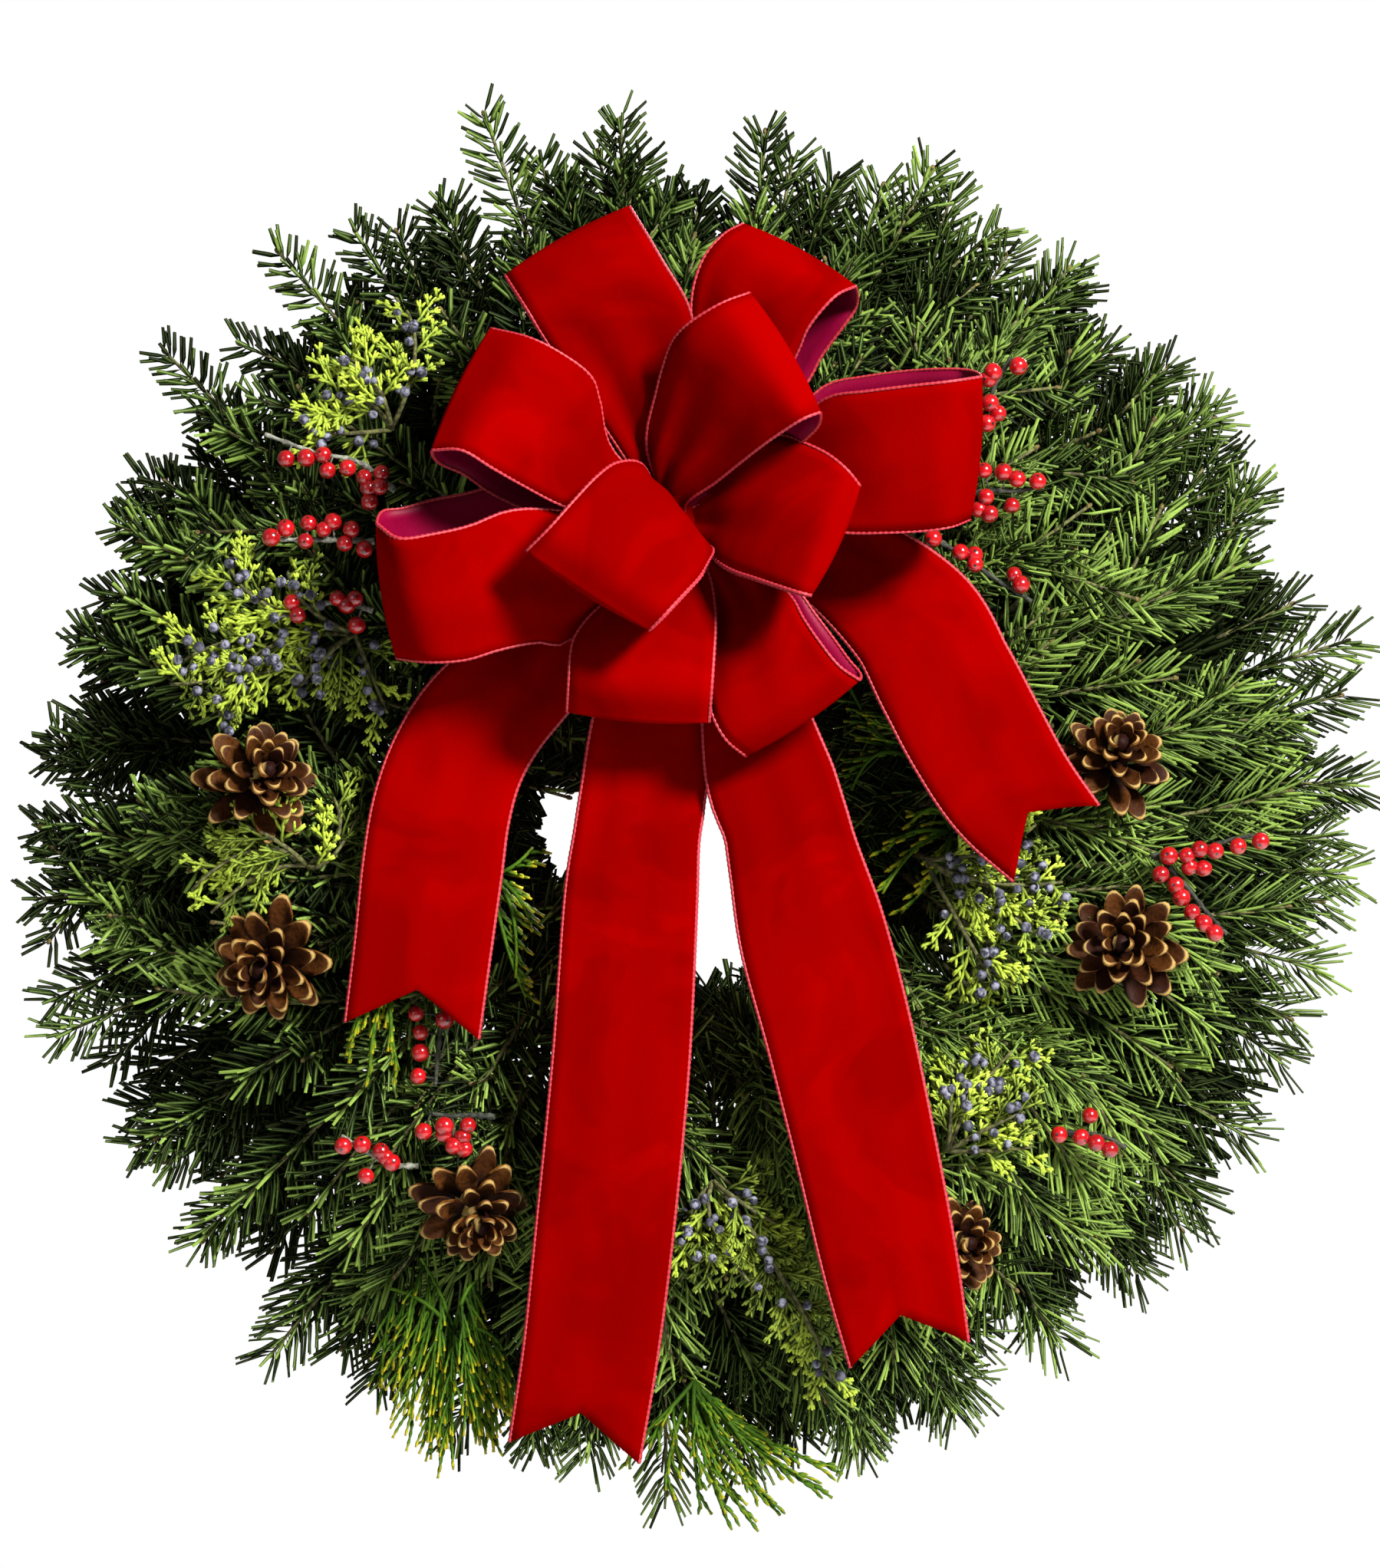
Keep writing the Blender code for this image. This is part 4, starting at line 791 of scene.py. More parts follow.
def build_tufts(piles, draw):
    """Short twigs, painted dark as shade, that narrow the hole at its right and left."""
    for low, high, inner, _ in HOLE_TUFTS:
        for k, angle in enumerate(np.arange(low + 1, high, TUFT_STEP)):
            deep, tone, wide, rows = TUFTS[k % 3]
            angle += draw.uniform(-1.2, 1.2)
            spots = (
                (angle, 0.132, deep),
                (angle + draw.normal(0, 2), 0.102, deep + draw.uniform(0, 0.012)),
                (angle + draw.normal(0, 4), inner + 0.01, deep + draw.uniform(0, 0.004)),
            )
            fir_twig(piles, spots, 0.0165, wide, tone, 0.1, draw, rows)


def build_forward_twigs(piles, draw):
    """Short twigs that point forward, so their needles spread like a star."""
    for i in range(FORWARD_TWIGS):
        angle = 360 * (i + draw.uniform(-0.4, 0.4)) / FORWARD_TWIGS
        radius = draw.uniform(0.125, 0.245)
        front = fir_front(radius)
        side = draw.uniform(-5, 5)
        spots = (
            (angle, radius - 0.012, front - 0.032),
            (angle + 0.3 * side, radius - 0.004, front - 0.012),
            (angle + side, radius + draw.uniform(0.004, 0.02), min(front + 0.003, 0.07)),
        )
        fir_twig(piles, spots, 0.015, NEEDLE_WIDTH, 0.62 + draw.uniform(-0.2, 0.2), 0.1, draw)


def build_fir(draw):
    piles = [Pile() for _ in range(BUNCHES)]
    for k, pile in enumerate(piles):
        fir_bundle(pile, k, draw)
        build_rim(piles, k, draw)
    for rounds, rows in ((BACK_ROUNDS, BACK_ROWS), (ROUNDS, NEEDLE_ROWS)):
        for row in rounds:
            build_round(piles, row, draw, rows)
    build_forward_twigs(piles, draw)
    build_tufts(piles, draw)
    build_full_rim(piles, draw)
    for k, pile in enumerate(piles):
        name = f"fir_bunch_{k + 1:02d}"
        piece(name + "_sprays", pile, (FIR, FIR_STEM, FIR_BUD, FIR_WOOD), "fir", name)


# Ring and wires

def build_ring():
    pile = Pile()
    around = np.linspace(0, 360, RING_POINTS, endpoint=False)
    tube(pile, [place(a, RING_RADIUS, 0.0) for a in around], RING_WIRE, 12, closed=True)
    wide, deep = BUNDLE_RADIUS + CLEARANCE + CLAMP_WIRE, BUNDLE_FLAT + CLEARANCE + CLAMP_WIRE
    for k in range(BUNCHES):
        angle = bunch_middle(k)
        corners = [
            place(angle, RING_RADIUS + wide * a, BUNDLE_DEPTH + deep * b)
            for a, b in ((1, 1), (1, -1), (-1, -1), (-1, 1))
        ]
        start = corners[0] + (corners[3] - corners[0]) * CLAMP_OPENING
        end = corners[3] + (corners[0] - corners[3]) * CLAMP_OPENING
        path = rounded([start, *corners, end], CLAMP_BEND)
        tube(pile, path, CLAMP_WIRE, 8, normal=place(angle + 90, 1, 0) - place(0, 0, 0))
    return piece("wire_ring_and_clamps", pile, (GREEN_WIRE,), "green_wire", "wire_clamp_ring")


def rounded(corners, radius):
    """A path through corners that are rounded."""
    path = [corners[0]]
    for before, corner, after in zip(corners, corners[1:-1], corners[2:]):
        reach = min(radius, np.linalg.norm(corner - before) / 2.2, np.linalg.norm(after - corner) / 2.2)
        start, end = corner - unit(corner - before) * reach, corner + unit(after - corner) * reach
        path += list(bezier(start, corner, end, np.linspace(0, 1, 5)))
    return [*path, corners[-1]]


def lane_wire(pile, slot, base, finish):
    """A pick's wire: from the ring, between two bunches, out of the fir and to its base."""
    angle, radius, depth = (float(v) for v in polar(base))
    lane = BUNCH_STEP * round(angle / BUNCH_STEP)
    leave = radius * math.cos(math.radians(angle - lane))
    foot = RING_RADIUS + slot * PICK_PITCH
    corners = [
        place(lane, foot, 0.0 if slot else RING_WIRE + CLEARANCE),
        place(lane, foot, PICK_BEND),
        place(lane, leave, min(fir_front(leave) + PICK_ABOVE, depth)),
        base,
    ]
    tube(pile, rounded(corners, PICK_CURVE), PICK_WIRE, 7, 0.5, finish)


def build_tie():
    """The bow's wire: a loop round its pinched ribbons, and a tail that hooks over the ring's top."""
    pile = Pile()
    near = PINCH_BACK - RIBBON_THICKNESS / 2 - CLEARANCE - TIE_WIRE
    far = PINCH_FRONT + RIBBON_THICKNESS / 2 + CLEARANCE + TIE_WIRE
    pinch = seen(KNOT_PIXEL, (near + far) / 2) + np.array([0, 0, TIE_RISE])
    half = (far - near) / 2
    turn = np.linspace(0, 2 * np.pi, 40, endpoint=False)
    square = [np.abs(wave) ** 0.4 * np.sign(wave) for wave in (np.cos(turn), np.sin(turn))]
    loop = [pinch + np.array([0, -half * a, TIE_HEIGHT * b]) for a, b in zip(*square)]
    tube(pile, loop, TIE_WIRE, 8, normal=RIGHT, closed=True)
    over = 2 * RING_CORNER + CLEARANCE + TIE_WIRE
    tail = (0.07, pinch[2] + 0.006), (0.03, RING_WIRE + 0.0115), (0.003, over + RING_WIRE), (0.0003, over)
    top = pinch + np.array([0, -half, TIE_HEIGHT])
    path = [
        top + np.array([0, 0, -0.002]),
        *(np.array([pinch[0], -depth, height]) for depth, height in tail),
    ]
    tube(pile, rounded(path, 0.006), TIE_WIRE, 8, normal=RIGHT)
    return piece("bow_wire", pile, (TIE,), "tie_wire", "bow_tie_wire")


# Cones

def cone_scale(pile, foot, head, across, width, tone):
    """One scale: narrow at the core, widening to a thick rounded end with a rim."""
    reach = np.linalg.norm(head - foot)
    along = (head - foot) / reach
    up = np.cross(across, along)
    u, v = np.linspace(0, 1, SCALE_ROWS) ** 0.85, np.linspace(-1, 1, SCALE_COLUMNS)
    u, v = np.meshgrid(u, v, indexing="ij")
    half = width / 2 * (0.36 + 0.64 * stretch(0.0, 0.55, u))
    line = u * reach * (1 - 0.34 * np.abs(v) ** 2.4 * stretch(0.3, 1.0, u))
    dish = width * (0.16 * v * v * u + 0.16 * u * u)
    middle = foot + along * line[..., None] + across * (v * half)[..., None] + up * dish[..., None]
    border = np.maximum(np.abs(v), stretch(0.7, 1.0, u))
    thick = width * (0.07 + 0.3 * stretch(0.5, 0.92, u)) * (1 - 0.55 * border**4)
    upper = middle + up * (0.25 * thick)[..., None]
    lower = middle - up * (0.75 * thick)[..., None] + along * (0.3 * thick * u)[..., None]
    side_rim = 0.7 * np.abs(v) ** 6 * stretch(0.5, 0.9, u)
    rim = np.maximum(stretch(0.76, 1.0, u) * (1 - 0.45 * np.abs(v) ** 3), side_rim)
    grain = np.stack([np.full(u.shape, tone * 0.5), rim, u], -1)
    outer = grain * [1, 0.8, 1] + [0.5, 0, 0]
    faces = np.concatenate(shell_faces(SCALE_ROWS, SCALE_COLUMNS))[:, ::-1]
    pile.add(np.stack([upper, lower]), faces, np.stack([grain, outer]), 0, True)


def build_cone(pile, draw, name, row, _):
    """Open scales in a spiral round a dark core, flat at the base and steep near the top."""
    base, axis, size = CONE_SEATS[name]
    side = unit(np.cross(axis, [0.2, 0.1, 1]))
    face = np.cross(axis, side)
    heights = np.linspace(0.04, 0.84, 8)
    core = base + axis * (CONE_HEIGHT * size * heights)[:, None]
    tube(pile, core, CONE_CORE * size * (1.0 - 0.75 * heights**2), 9, 0.0, 0, side)
    for k in range(CONE_SCALES):
        share = (k + 0.5) / CONE_SCALES
        turn = math.radians(GOLDEN_ANGLE * k + draw.uniform(-11, 11))
        out = side * math.cos(turn) + face * math.sin(turn)
        slope = math.radians(94 - 70 * share**1.3 + draw.uniform(-8, 8))
        foot = base + out * 0.005 * size * (1 - 0.5 * share)
        foot = foot + axis * CONE_HEIGHT * size * (0.07 + 0.7 * share)
        reach = SCALE_REACH * size * (1 - 0.56 * share**1.5) * draw.uniform(0.95, 1.03)
        head = foot + (out * math.sin(slope) + axis * math.cos(slope)) * reach
        width = SCALE_WIDTH * size * (1 - 0.46 * share**1.3) * draw.uniform(0.88, 1.12)
        cone_scale(pile, foot, head, -np.cross(axis, out), width, draw.uniform(0.2, 1.0))
    lane_wire(pile, row[-1], base + axis * 0.004, 1)
    piece(name + "_scales", pile, (CONE, GREEN_WIRE), "pine_cone", name)


# Red berries

# Place of the pick's wire, depth, pixels along each stem, and the berries' pixels
BERRY_PICKS = {
    "left_top": (0, 0.079, [(515, 640, 470, 604, 405, 588, 345, 566)], (
        373, 598, 399, 598, 422, 593, 427, 613, 453, 610, 475, 622, 498, 616, 480, 636, 495, 634, 482, 654)),
    "left_middle": (-1, 0.077, [(488, 706, 440, 704, 390, 704, 350, 702)], (
        351, 702, 373, 693, 402, 682, 399, 705, 422, 690, 434, 680, 458, 690, 450, 710, 475, 716)),
    "left_low": (0, 0.078, [(486, 796, 446, 786, 405, 790, 360, 806)], (
        381, 789, 388, 799, 440, 780, 463, 780, 452, 790, 465, 815)),
    "right_top": (1, 0.081, [(1250, 590, 1282, 545, 1296, 505, 1318, 466)], (
        1295, 486, 1326, 477, 1286, 493, 1290, 526, 1301, 539, 1286, 552)),
    "right_middle": (0, 0.078, [(1255, 645, 1290, 640, 1322, 640, 1352, 636)], (
        1283, 613, 1308, 615, 1326, 624, 1352, 632, 1285, 649, 1319, 659, 1290, 670, 1276, 664)),
    "right_low": (-1, 0.076, [(1200, 690, 1250, 722, 1300, 756, 1345, 784)], (
        1216, 702, 1252, 721, 1271, 721, 1271, 736, 1322, 749, 1329, 764)),
    "right_side": (1, 0.072, [
        (1500, 1116, 1550, 1112, 1600, 1096, 1650, 1086), (1506, 1112, 1542, 1150, 1572, 1188, 1600, 1218),
    ], (
        1523, 1116, 1547, 1116, 1564, 1107, 1584, 1110, 1612, 1101, 1643, 1094, 1513, 1140, 1530, 1155,
        1540, 1170, 1554, 1189, 1569, 1203, 1583, 1216, 1569, 1132, 1551, 1130)),
    "bottom_right": (1, 0.061, [(1372, 1480, 1400, 1476, 1440, 1482, 1468, 1496)], (
        1421, 1454, 1380, 1479, 1409, 1482, 1429, 1489, 1448, 1495)),
    "inner_left": (0, 0.072, [(578, 1290, 575, 1335, 571, 1375, 567, 1416)], (
        542, 1321, 580, 1329, 548, 1346, 548, 1372, 545, 1403)),
    "bottom_left": (1, 0.072, [(545, 1520, 510, 1518, 475, 1500, 445, 1480)], (
        450, 1489, 472, 1492, 497, 1500, 511, 1515, 503, 1508, 477, 1533)),
    "bottom_cluster": (-1, 0.08, [(645, 1456, 616, 1454, 588, 1455, 562, 1452)], (
        552, 1475, 580, 1462, 578, 1479, 603, 1482, 610, 1467, 591, 1494, 605, 1498)),
}
PALE_TWIGS = ("left_top", "left_middle", "left_low", "bottom_left")
STEM_POINTS = 26
STEM_THICK = (0.00145, 0.0009)
STALK = 0.0005
STALK_LEAST = 0.0012


def build_berries(pile, draw, name, row, number):
    """Berries at the ends of short stalks on knobbly stems, which leave one pick wire."""
    slot, depth, stems, berries = row
    routes = [[seen(p, depth + 0.002 * i) for i, p in enumerate(pairs(stem))] for stem in stems]
    lane_wire(pile, slot, routes[0][0] * 0.85 + routes[0][1] * 0.15, 2)
    share = np.linspace(0, 1, STEM_POINTS)
    lines = [smooth_route(route, share) for route in routes]
    for line in lines:
        knobs = 1 + 0.22 * np.sin(share * 47 + number) + draw.uniform(-0.08, 0.08, STEM_POINTS)
        tube(pile, line, np.linspace(*STEM_THICK, STEM_POINTS) * knobs, 7, 0.5, 1)
    every = np.concatenate(lines)
    for pixel in pairs(berries):
        centre = seen(pixel, depth + 0.004 + draw.uniform(0, 0.003))
        near = every[np.argmin(np.linalg.norm(every - centre, axis=1))]
        away = unit(centre - near + FRONT * 0.002)
        radius = RED_BERRY * draw.uniform(0.92, 1.08)
        if np.linalg.norm(centre - near) < radius + STALK_LEAST:
            centre = near + away * (radius + STALK_LEAST)
        bend, end = (near + centre) / 2 + FRONT * 0.001, centre - away * radius * 0.8
        stalk = bezier(near, bend, end, np.linspace(0, 1, 5))
        tube(pile, stalk, STALK, 5, 0.4, 1)
        ball(pile, centre, radius, away + draw.normal(0, 0.35, 3), draw.uniform(0, 1), 0, 14, 10, 0.95)
    wood = TWIG_WOOD if name in PALE_TWIGS else DARK_TWIG
    piece(f"red_berries_{name}", pile, (RED, wood, GREEN_WIRE), "red_berries", f"berry_pick_{name}")


# Juniper and cedar

# Place of the pick's wire, depth, looks, the root's pixel, and the pixels of each branch's bend and tip.
# A juniper's looks: the share of its fans that are a bright yellow-green, and the most berries on a fan.
# A cedar's looks: strand length, tone at the root, what the tips add to it, and how much the strands hang to
# the right and down.
GREENS = {
    "juniper_left_top": (1, 0.076, (0.75, 2), (510, 560), (
        (470, 520, 412, 528), (540, 470, 530, 405), (490, 500, 450, 465), (450, 565, 405, 560))),
    "juniper_left": (1, 0.075, (0.8, 3), (462, 826), (
        (360, 872, 222, 892), (350, 790, 300, 740), (420, 860, 385, 905), (480, 870, 505, 930),
        (340, 850, 285, 935), (400, 790, 375, 745), (330, 830, 240, 860))),
    "juniper_left_low": (0, 0.074, (0.55, 0), (400, 1128), (
        (330, 1108, 250, 1160), (430, 1120, 470, 1060), (350, 1090, 295, 1070), (340, 1140, 275, 1190),
        (440, 1090, 435, 1040))),
    "juniper_right": (-1, 0.07, (0.8, 3), (1205, 1120), (
        (1265, 1150, 1325, 1150), (1265, 1230, 1295, 1280), (1290, 1110, 1350, 1075),
        (1300, 1180, 1350, 1220), (1290, 1150, 1385, 1150))),
    "juniper_bottom_right": (0, 0.074, (0.6, 3), (1235, 1500), (
        (1270, 1430, 1320, 1370), (1290, 1470, 1335, 1450), (1240, 1440, 1238, 1385),
        (1290, 1500, 1345, 1495), (1255, 1450, 1280, 1380))),
    "juniper_bottom": (0, 0.073, (0.35, 2), (930, 1540), (
        (990, 1620, 1060, 1740), (930, 1600, 985, 1680), (970, 1570, 1020, 1600), (900, 1590, 912, 1645),
        (1030, 1680, 1085, 1800))),
    "cedar_bottom_left": (1, 0.056, (0.052, 0.36, 0.5, (0.03, 1.2)), (590, 1740), (
        (575, 1690, 548, 1640), (556, 1700, 508, 1680), (605, 1690, 622, 1670), (572, 1780, 560, 1830),
        (620, 1780, 640, 1830), (640, 1740, 665, 1800))),
    "cedar_bottom_right": (1, 0.05, (0.024, 0.46, 0.16, (0.16, 0.12)), (905, 1800), (
        (985, 1870, 1090, 1914), (985, 1888, 1068, 1938), (950, 1895, 1008, 1962), (935, 1905, 976, 1978),
        (918, 1890, 946, 1976), (905, 1880, 912, 1955), (880, 1870, 868, 1930), (860, 1850, 815, 1890))),
    "cedar_inner_left": (-1, 0.062, (0.017, 0.42, 0.8, (0.5, 0.25)), (640, 1140), (
        (668, 1190, 672, 1275), (668, 1130, 694, 1105), (676, 1170, 694, 1215), (660, 1230, 686, 1300))),
    "cedar_left_low": (0, 0.078, (0.018, 0.42, 0.75, (-0.1, 0.7)), (510, 1275), (
        (490, 1330, 482, 1400), (510, 1340, 520, 1395), (470, 1320, 455, 1370))),
    # cedar_inner_right: its tone is set higher as painted light, so it looks lit in the shade where it lies
    "cedar_inner_right": (-1, 0.06, (0.018, 0.46, 0.9, (-0.55, 0.3)), (1240, 1085), (
        (1195, 1105, 1150, 1165), (1190, 1085, 1155, 1110), (1225, 1130, 1175, 1190),
        (1220, 1055, 1190, 1070))),
    "cedar_inner_top_right": (0, 0.053, (0.018, 0.3, 0.35, (-0.7, 0.05)), (1180, 985), (
        (1140, 950, 1105, 890), (1140, 985, 1110, 1030), (1170, 940, 1130, 930))),
}
BRANCH_THICK = (0.0012, 0.0007)
JUNIPER_BRANCH = dict(points=14, sides=6, finish=1, spacing=0.0078, least=3, start=0.12, span=0.86)
CEDAR_BRANCH = dict(points=16, sides=5, finish=0, spacing=0.005, least=4, start=0.05, span=0.93)

# Radius of a shoot and how far apart the leaves on it are
JUNIPER_SHOOT = (0.00086, 0.0024)
JUNIPER_SIDE_SHOOT = (0.0008, 0.0022)
JUNIPER_FORK = (0.00072, 0.002)
CEDAR_STRAND = (0.0009, 0.0018)
CEDAR_SIDE_STRAND = (0.00075, 0.0016)


def cord(pile, start, head, reach, bend, kind, tone, tip):
    """A scaly shoot: a tube beaded by its overlapping leaves, paler at its tip."""
    radius, pitch = kind
    count = max(int(reach / pitch), 3)
    t = np.linspace(0, 1, count)
    path = bezier(start, start + head * reach * 0.5, start + unit(head + bend) * reach, t)
    beads = radius * (1 + 0.24 * np.where(np.arange(count) % 2, 1, -1)) * (1 - 0.3 * t)
    tube(pile, path, beads, 4, np.clip(tone + tip * t[:, None] ** 2, 0, 1))
    return path


def juniper_fan(pile, start, head, side, reach, tone, draw):
    """A flat fan of thick shoots that fork twice."""
    spine = cord(pile, start, head, reach, side * 0.1, JUNIPER_SHOOT, tone, 0.2)
    for k in range(1, len(spine)):
        lean = math.radians(draw.uniform(30, 50)) * (1 if k % 2 else -1)
        way = unit(head * math.cos(lean) + side * math.sin(lean) + draw.normal(0, 0.15, 3))
        long = reach * draw.uniform(0.38, 0.6) * (1.15 - 0.6 * k / len(spine))
        branch = cord(pile, spine[k], way, long, head * 0.25, JUNIPER_SIDE_SHOOT, tone, 0.3)
        for fork in (-1, 1):
            turn = unit(way + side * fork * 0.8 + head * 0.3 + draw.normal(0, 0.14, 3))
            cord(pile, branch[len(branch) // 2], turn, long * 0.48, head * 0.2, JUNIPER_FORK, tone, 0.35)
    return spine


def along_branch(pile, route, tone, points, sides, finish, spacing, least, start, span):
    """A bare branch, and the places along it where its shoots grow: point, direction and side, by turns."""
    path = bezier(*route, np.linspace(0, 1, points))
    tube(pile, path, np.linspace(*BRANCH_THICK, points), sides, tone, finish)
    count = max(int(way_along(path)[-1] / spacing), least)
    for i in range(count):
        t = start + span * (i + 0.5) / count
        along = heading(route, t)
        yield t, bezier(*route, t), along, unit(np.cross(along, FRONT)) * (1 if i % 2 else -1)


def juniper_spray(pile, route, looks, draw):
    """A branch with fans to both sides, and berries close to it."""
    bright, berries = looks
    for t, start, along, side in along_branch(pile, route, 0.5, **JUNIPER_BRANCH):
        lean = math.radians(draw.uniform(25, 62))
        head = unit(along * math.cos(lean) + side * math.sin(lean) + FRONT * draw.uniform(-0.35, 0.2))
        reach = draw.uniform(0.014, 0.024) * (1.1 - 0.35 * t)
        tone = draw.uniform(0.54, 1.0) if draw.uniform() < bright else draw.uniform(0.02, 0.34)
        spine = juniper_fan(pile, start, head, unit(np.cross(head, FRONT)), reach, tone, draw)
        for b in range(draw.integers(0, berries + 1)):
            hang = spine[1 + b % (len(spine) - 1)] + FRONT * 0.003 + draw.normal(0, 0.0026, 3)
            radius = BLUE_BERRY * draw.uniform(0.72, 1.0)
            ball(pile, hang, radius, draw.normal(0, 1, 3), draw.uniform(0, 1), 2, 10, 7)


def cedar_spray(pile, route, looks, draw):
    """A branch that ends in long strands, each with short side strands that hang the same way."""
    long, tone, tip, (right, down) = looks
    fall = np.array([right, 0.0, -down])
    for t, start, along, side in along_branch(pile, route, tone, **CEDAR_BRANCH):
        head = unit(along * 0.5 + fall + side * draw.uniform(0.04, 0.26) + FRONT * draw.uniform(-0.1, 0.15))
        reach = long * draw.uniform(0.6, 1.0) * (1 - 0.5 * t * max(along @ head, 0))
        shade = tone + draw.uniform(-0.14, 0.14)
        strand = cord(pile, start, head, reach, fall * 0.8, CEDAR_STRAND, shade, tip)
        for k in range(2, len(strand) - 1, 3):
            hand = 1 if k % 2 else -1
            way = unit(head + np.cross(head, FRONT) * 0.32 * hand + FRONT * draw.uniform(-0.15, 0.15))
            short = reach * draw.uniform(0.25, 0.42)
            cord(pile, strand[k], way, short, head * 0.6, CEDAR_SIDE_STRAND, shade, tip)


def build_green(pile, draw, name, row, _):
    """A spray of juniper or cedar at the end of its pick wire."""
    slot, depth, looks, root, branches = row
    kind = name.partition("_")[0]
    leaves, spray = (JUNIPER, juniper_spray) if kind == "juniper" else (CEDAR, cedar_spray)
    start = seen(root, depth)
    lane_wire(pile, slot, start * 0.92 + seen(branches[0][:2], depth + 0.003) * 0.08, 3)
    for k, pixels in enumerate(branches):
        lift = 0.004 * (k % 3)
        middle, end = seen(pixels[:2], depth + 0.003 + lift), seen(pixels[2:], depth + 0.006 - lift)
        spray(pile, (start, middle * 2 - (start + end) / 2, end), looks, draw)
    piece(name + "_spray", pile, (leaves, FIR_STEM, BLUE, GREEN_WIRE), kind, name)


# Bow

KNOT = seen(KNOT_PIXEL, KNOT_DEPTH)

# Depths of the fold's two ends, the loop's half thickness, how many pixels its back lies to the right of its
# front and below it, and pixels of its front's two edges from the fold towards the knot. In order: top left,
# top right, upper left, lower left, front top, right, front right, front left, bottom left, bottom right.
BOW_LOOPS = (
    ((0.118, 0.122, 0.016, 0, 0),
     (659, 359, 821, 269), (687, 403, 862, 337), (714, 447, 901, 409), (777, 540, 903, 491)),
    ((0.106, 0.132, 0.017, 20, 30),
     (969, 292, 1115, 373), (942, 307, 1087, 387), (917, 337, 1054, 425), (903, 381, 1038, 461),
     (901, 436, 1010, 513), (892, 529, 953, 562)),
    ((0.122, 0.144, 0.016, -4, 28),
     (640, 428, 563, 587), (690, 440, 602, 587), (733, 461, 640, 609), (771, 490, 681, 632),
     (783, 524, 731, 658), (802, 590, 777, 672)),
    ((0.138, 0.12, 0.017, -4, -50),
     (491, 683, 517, 858), (520, 702, 560, 863), (563, 697, 607, 860), (613, 686, 651, 847),
     (662, 667, 700, 837), (717, 664, 744, 834), (799, 672, 821, 749)),
    ((0.15, 0.166, 0.015, 12, 20),
     (977, 382, 1069, 537), (942, 395, 1046, 546), (906, 416, 1019, 563), (883, 436, 991, 583),
     (869, 461, 964, 604), (854, 513, 931, 630), (843, 584, 892, 658)),
    ((0.146, 0.124, 0.018, 0, -26),
     (1279, 491, 1264, 677), (1238, 497, 1238, 687), (1183, 503, 1200, 692), (1128, 510, 1150, 694),
     (1079, 518, 1106, 694), (1035, 551, 1052, 688), (964, 606, 980, 694)),
    ((0.148, 0.164, 0.012, 0, 0),
     (1121, 633, 1057, 776), (1104, 612, 1041, 772), (1079, 592, 1010, 762), (1049, 578, 983, 753),
     (1019, 568, 958, 745), (975, 579, 936, 732), (936, 617, 917, 710)),
    ((0.158, 0.164, 0.015, 0, 0),
     (687, 718, 847, 821), (717, 688, 869, 798), (750, 651, 892, 773), (780, 620, 912, 751),
     (805, 604, 923, 732), (835, 606, 928, 717), (854, 639, 909, 705)),
    ((0.122, 0.126, 0.014, 0, 0),
     (739, 927, 924, 941), (741, 891, 927, 902), (743, 858, 930, 858), (750, 828, 932, 820),
     (777, 795, 931, 790), (821, 760, 924, 751)),
    ((0.116, 0.132, 0.012, 18, -8),
     (972, 985, 1120, 886), (946, 963, 1093, 867), (928, 930, 1068, 836), (920, 886, 1046, 804),
     (917, 842, 1030, 776), (917, 793, 991, 738)),
)
LOOP_START = 0.06
LOOP_PINCH = 0.14
LOOP_STEPS = 60


def cloth(pile, grid, normals):
    """Ribbon through a grid of points: velvet in front, satin behind, joined round its edges."""
    parts = shell_faces(*grid.shape[:2])
    counts = [len(part) for part in parts]
    faces = np.concatenate(parts)
    way = np.cross(grid[:-1, 1:] - grid[:-1, :-1], grid[1:, 1:] - grid[:-1, :-1])
    if (way * normals[:-1, :-1]).sum() < 0:
        faces = faces[:, ::-1]
    points = np.stack([grid + normals * RIBBON_CLOTH / 2, grid - normals * RIBBON_CLOTH / 2])
    grain = np.zeros(points.shape)
    grain[..., 0] = 0.5
    grain[..., 1] = np.linspace(0, 1, grid.shape[1])
    grain[..., 2] = np.linspace(0, 1, grid.shape[0])[:, None]
    sides, smooth = np.repeat([0, 1, 0], counts), np.repeat([True, True, False], counts)
    pile.add(points, faces, grain, sides, smooth)


def stitched_edge(pile, line, normal):
    """The edge wire under its whipped thread: a fine tube that swells at each stitch."""
    at = way_along(line)
    count = int(at[-1] / STITCH)
    spot = np.linspace(0, at[-1], count)
    path = np.stack([np.interp(spot, at, line[:, i]) for i in range(3)], -1)
    odd = np.arange(count) % 2
    tube(pile, path, np.where(odd, *STITCH_THICK), 4, 1.0 - odd[:, None], 0, normal, flat=0.8)


def loop_lift(turn):
    """How far a loop's cloth bulges, as it turns from the knot round its fold and back."""
    return 1.25 * np.sin(turn) * np.sin(turn / 2)


def narrowness(width):
    """How gathered the ribbon is at this width: 0 where it lies flat."""
    return np.clip(1 - (width / RIBBON_WIDTH) ** 2, 0, 1) ** 0.5


def grid_normals(grid, faces):
    """The grid's normals, turned to the side of its faces' directions."""
    along, across = np.gradient(grid, axis=0), np.gradient(grid, axis=1)
    normals = unit(np.cross(along, across))
    flip = np.sign((normals * faces[:, None]).sum(-1, keepdims=True))
    return normals * np.where(flip == 0, 1, flip)


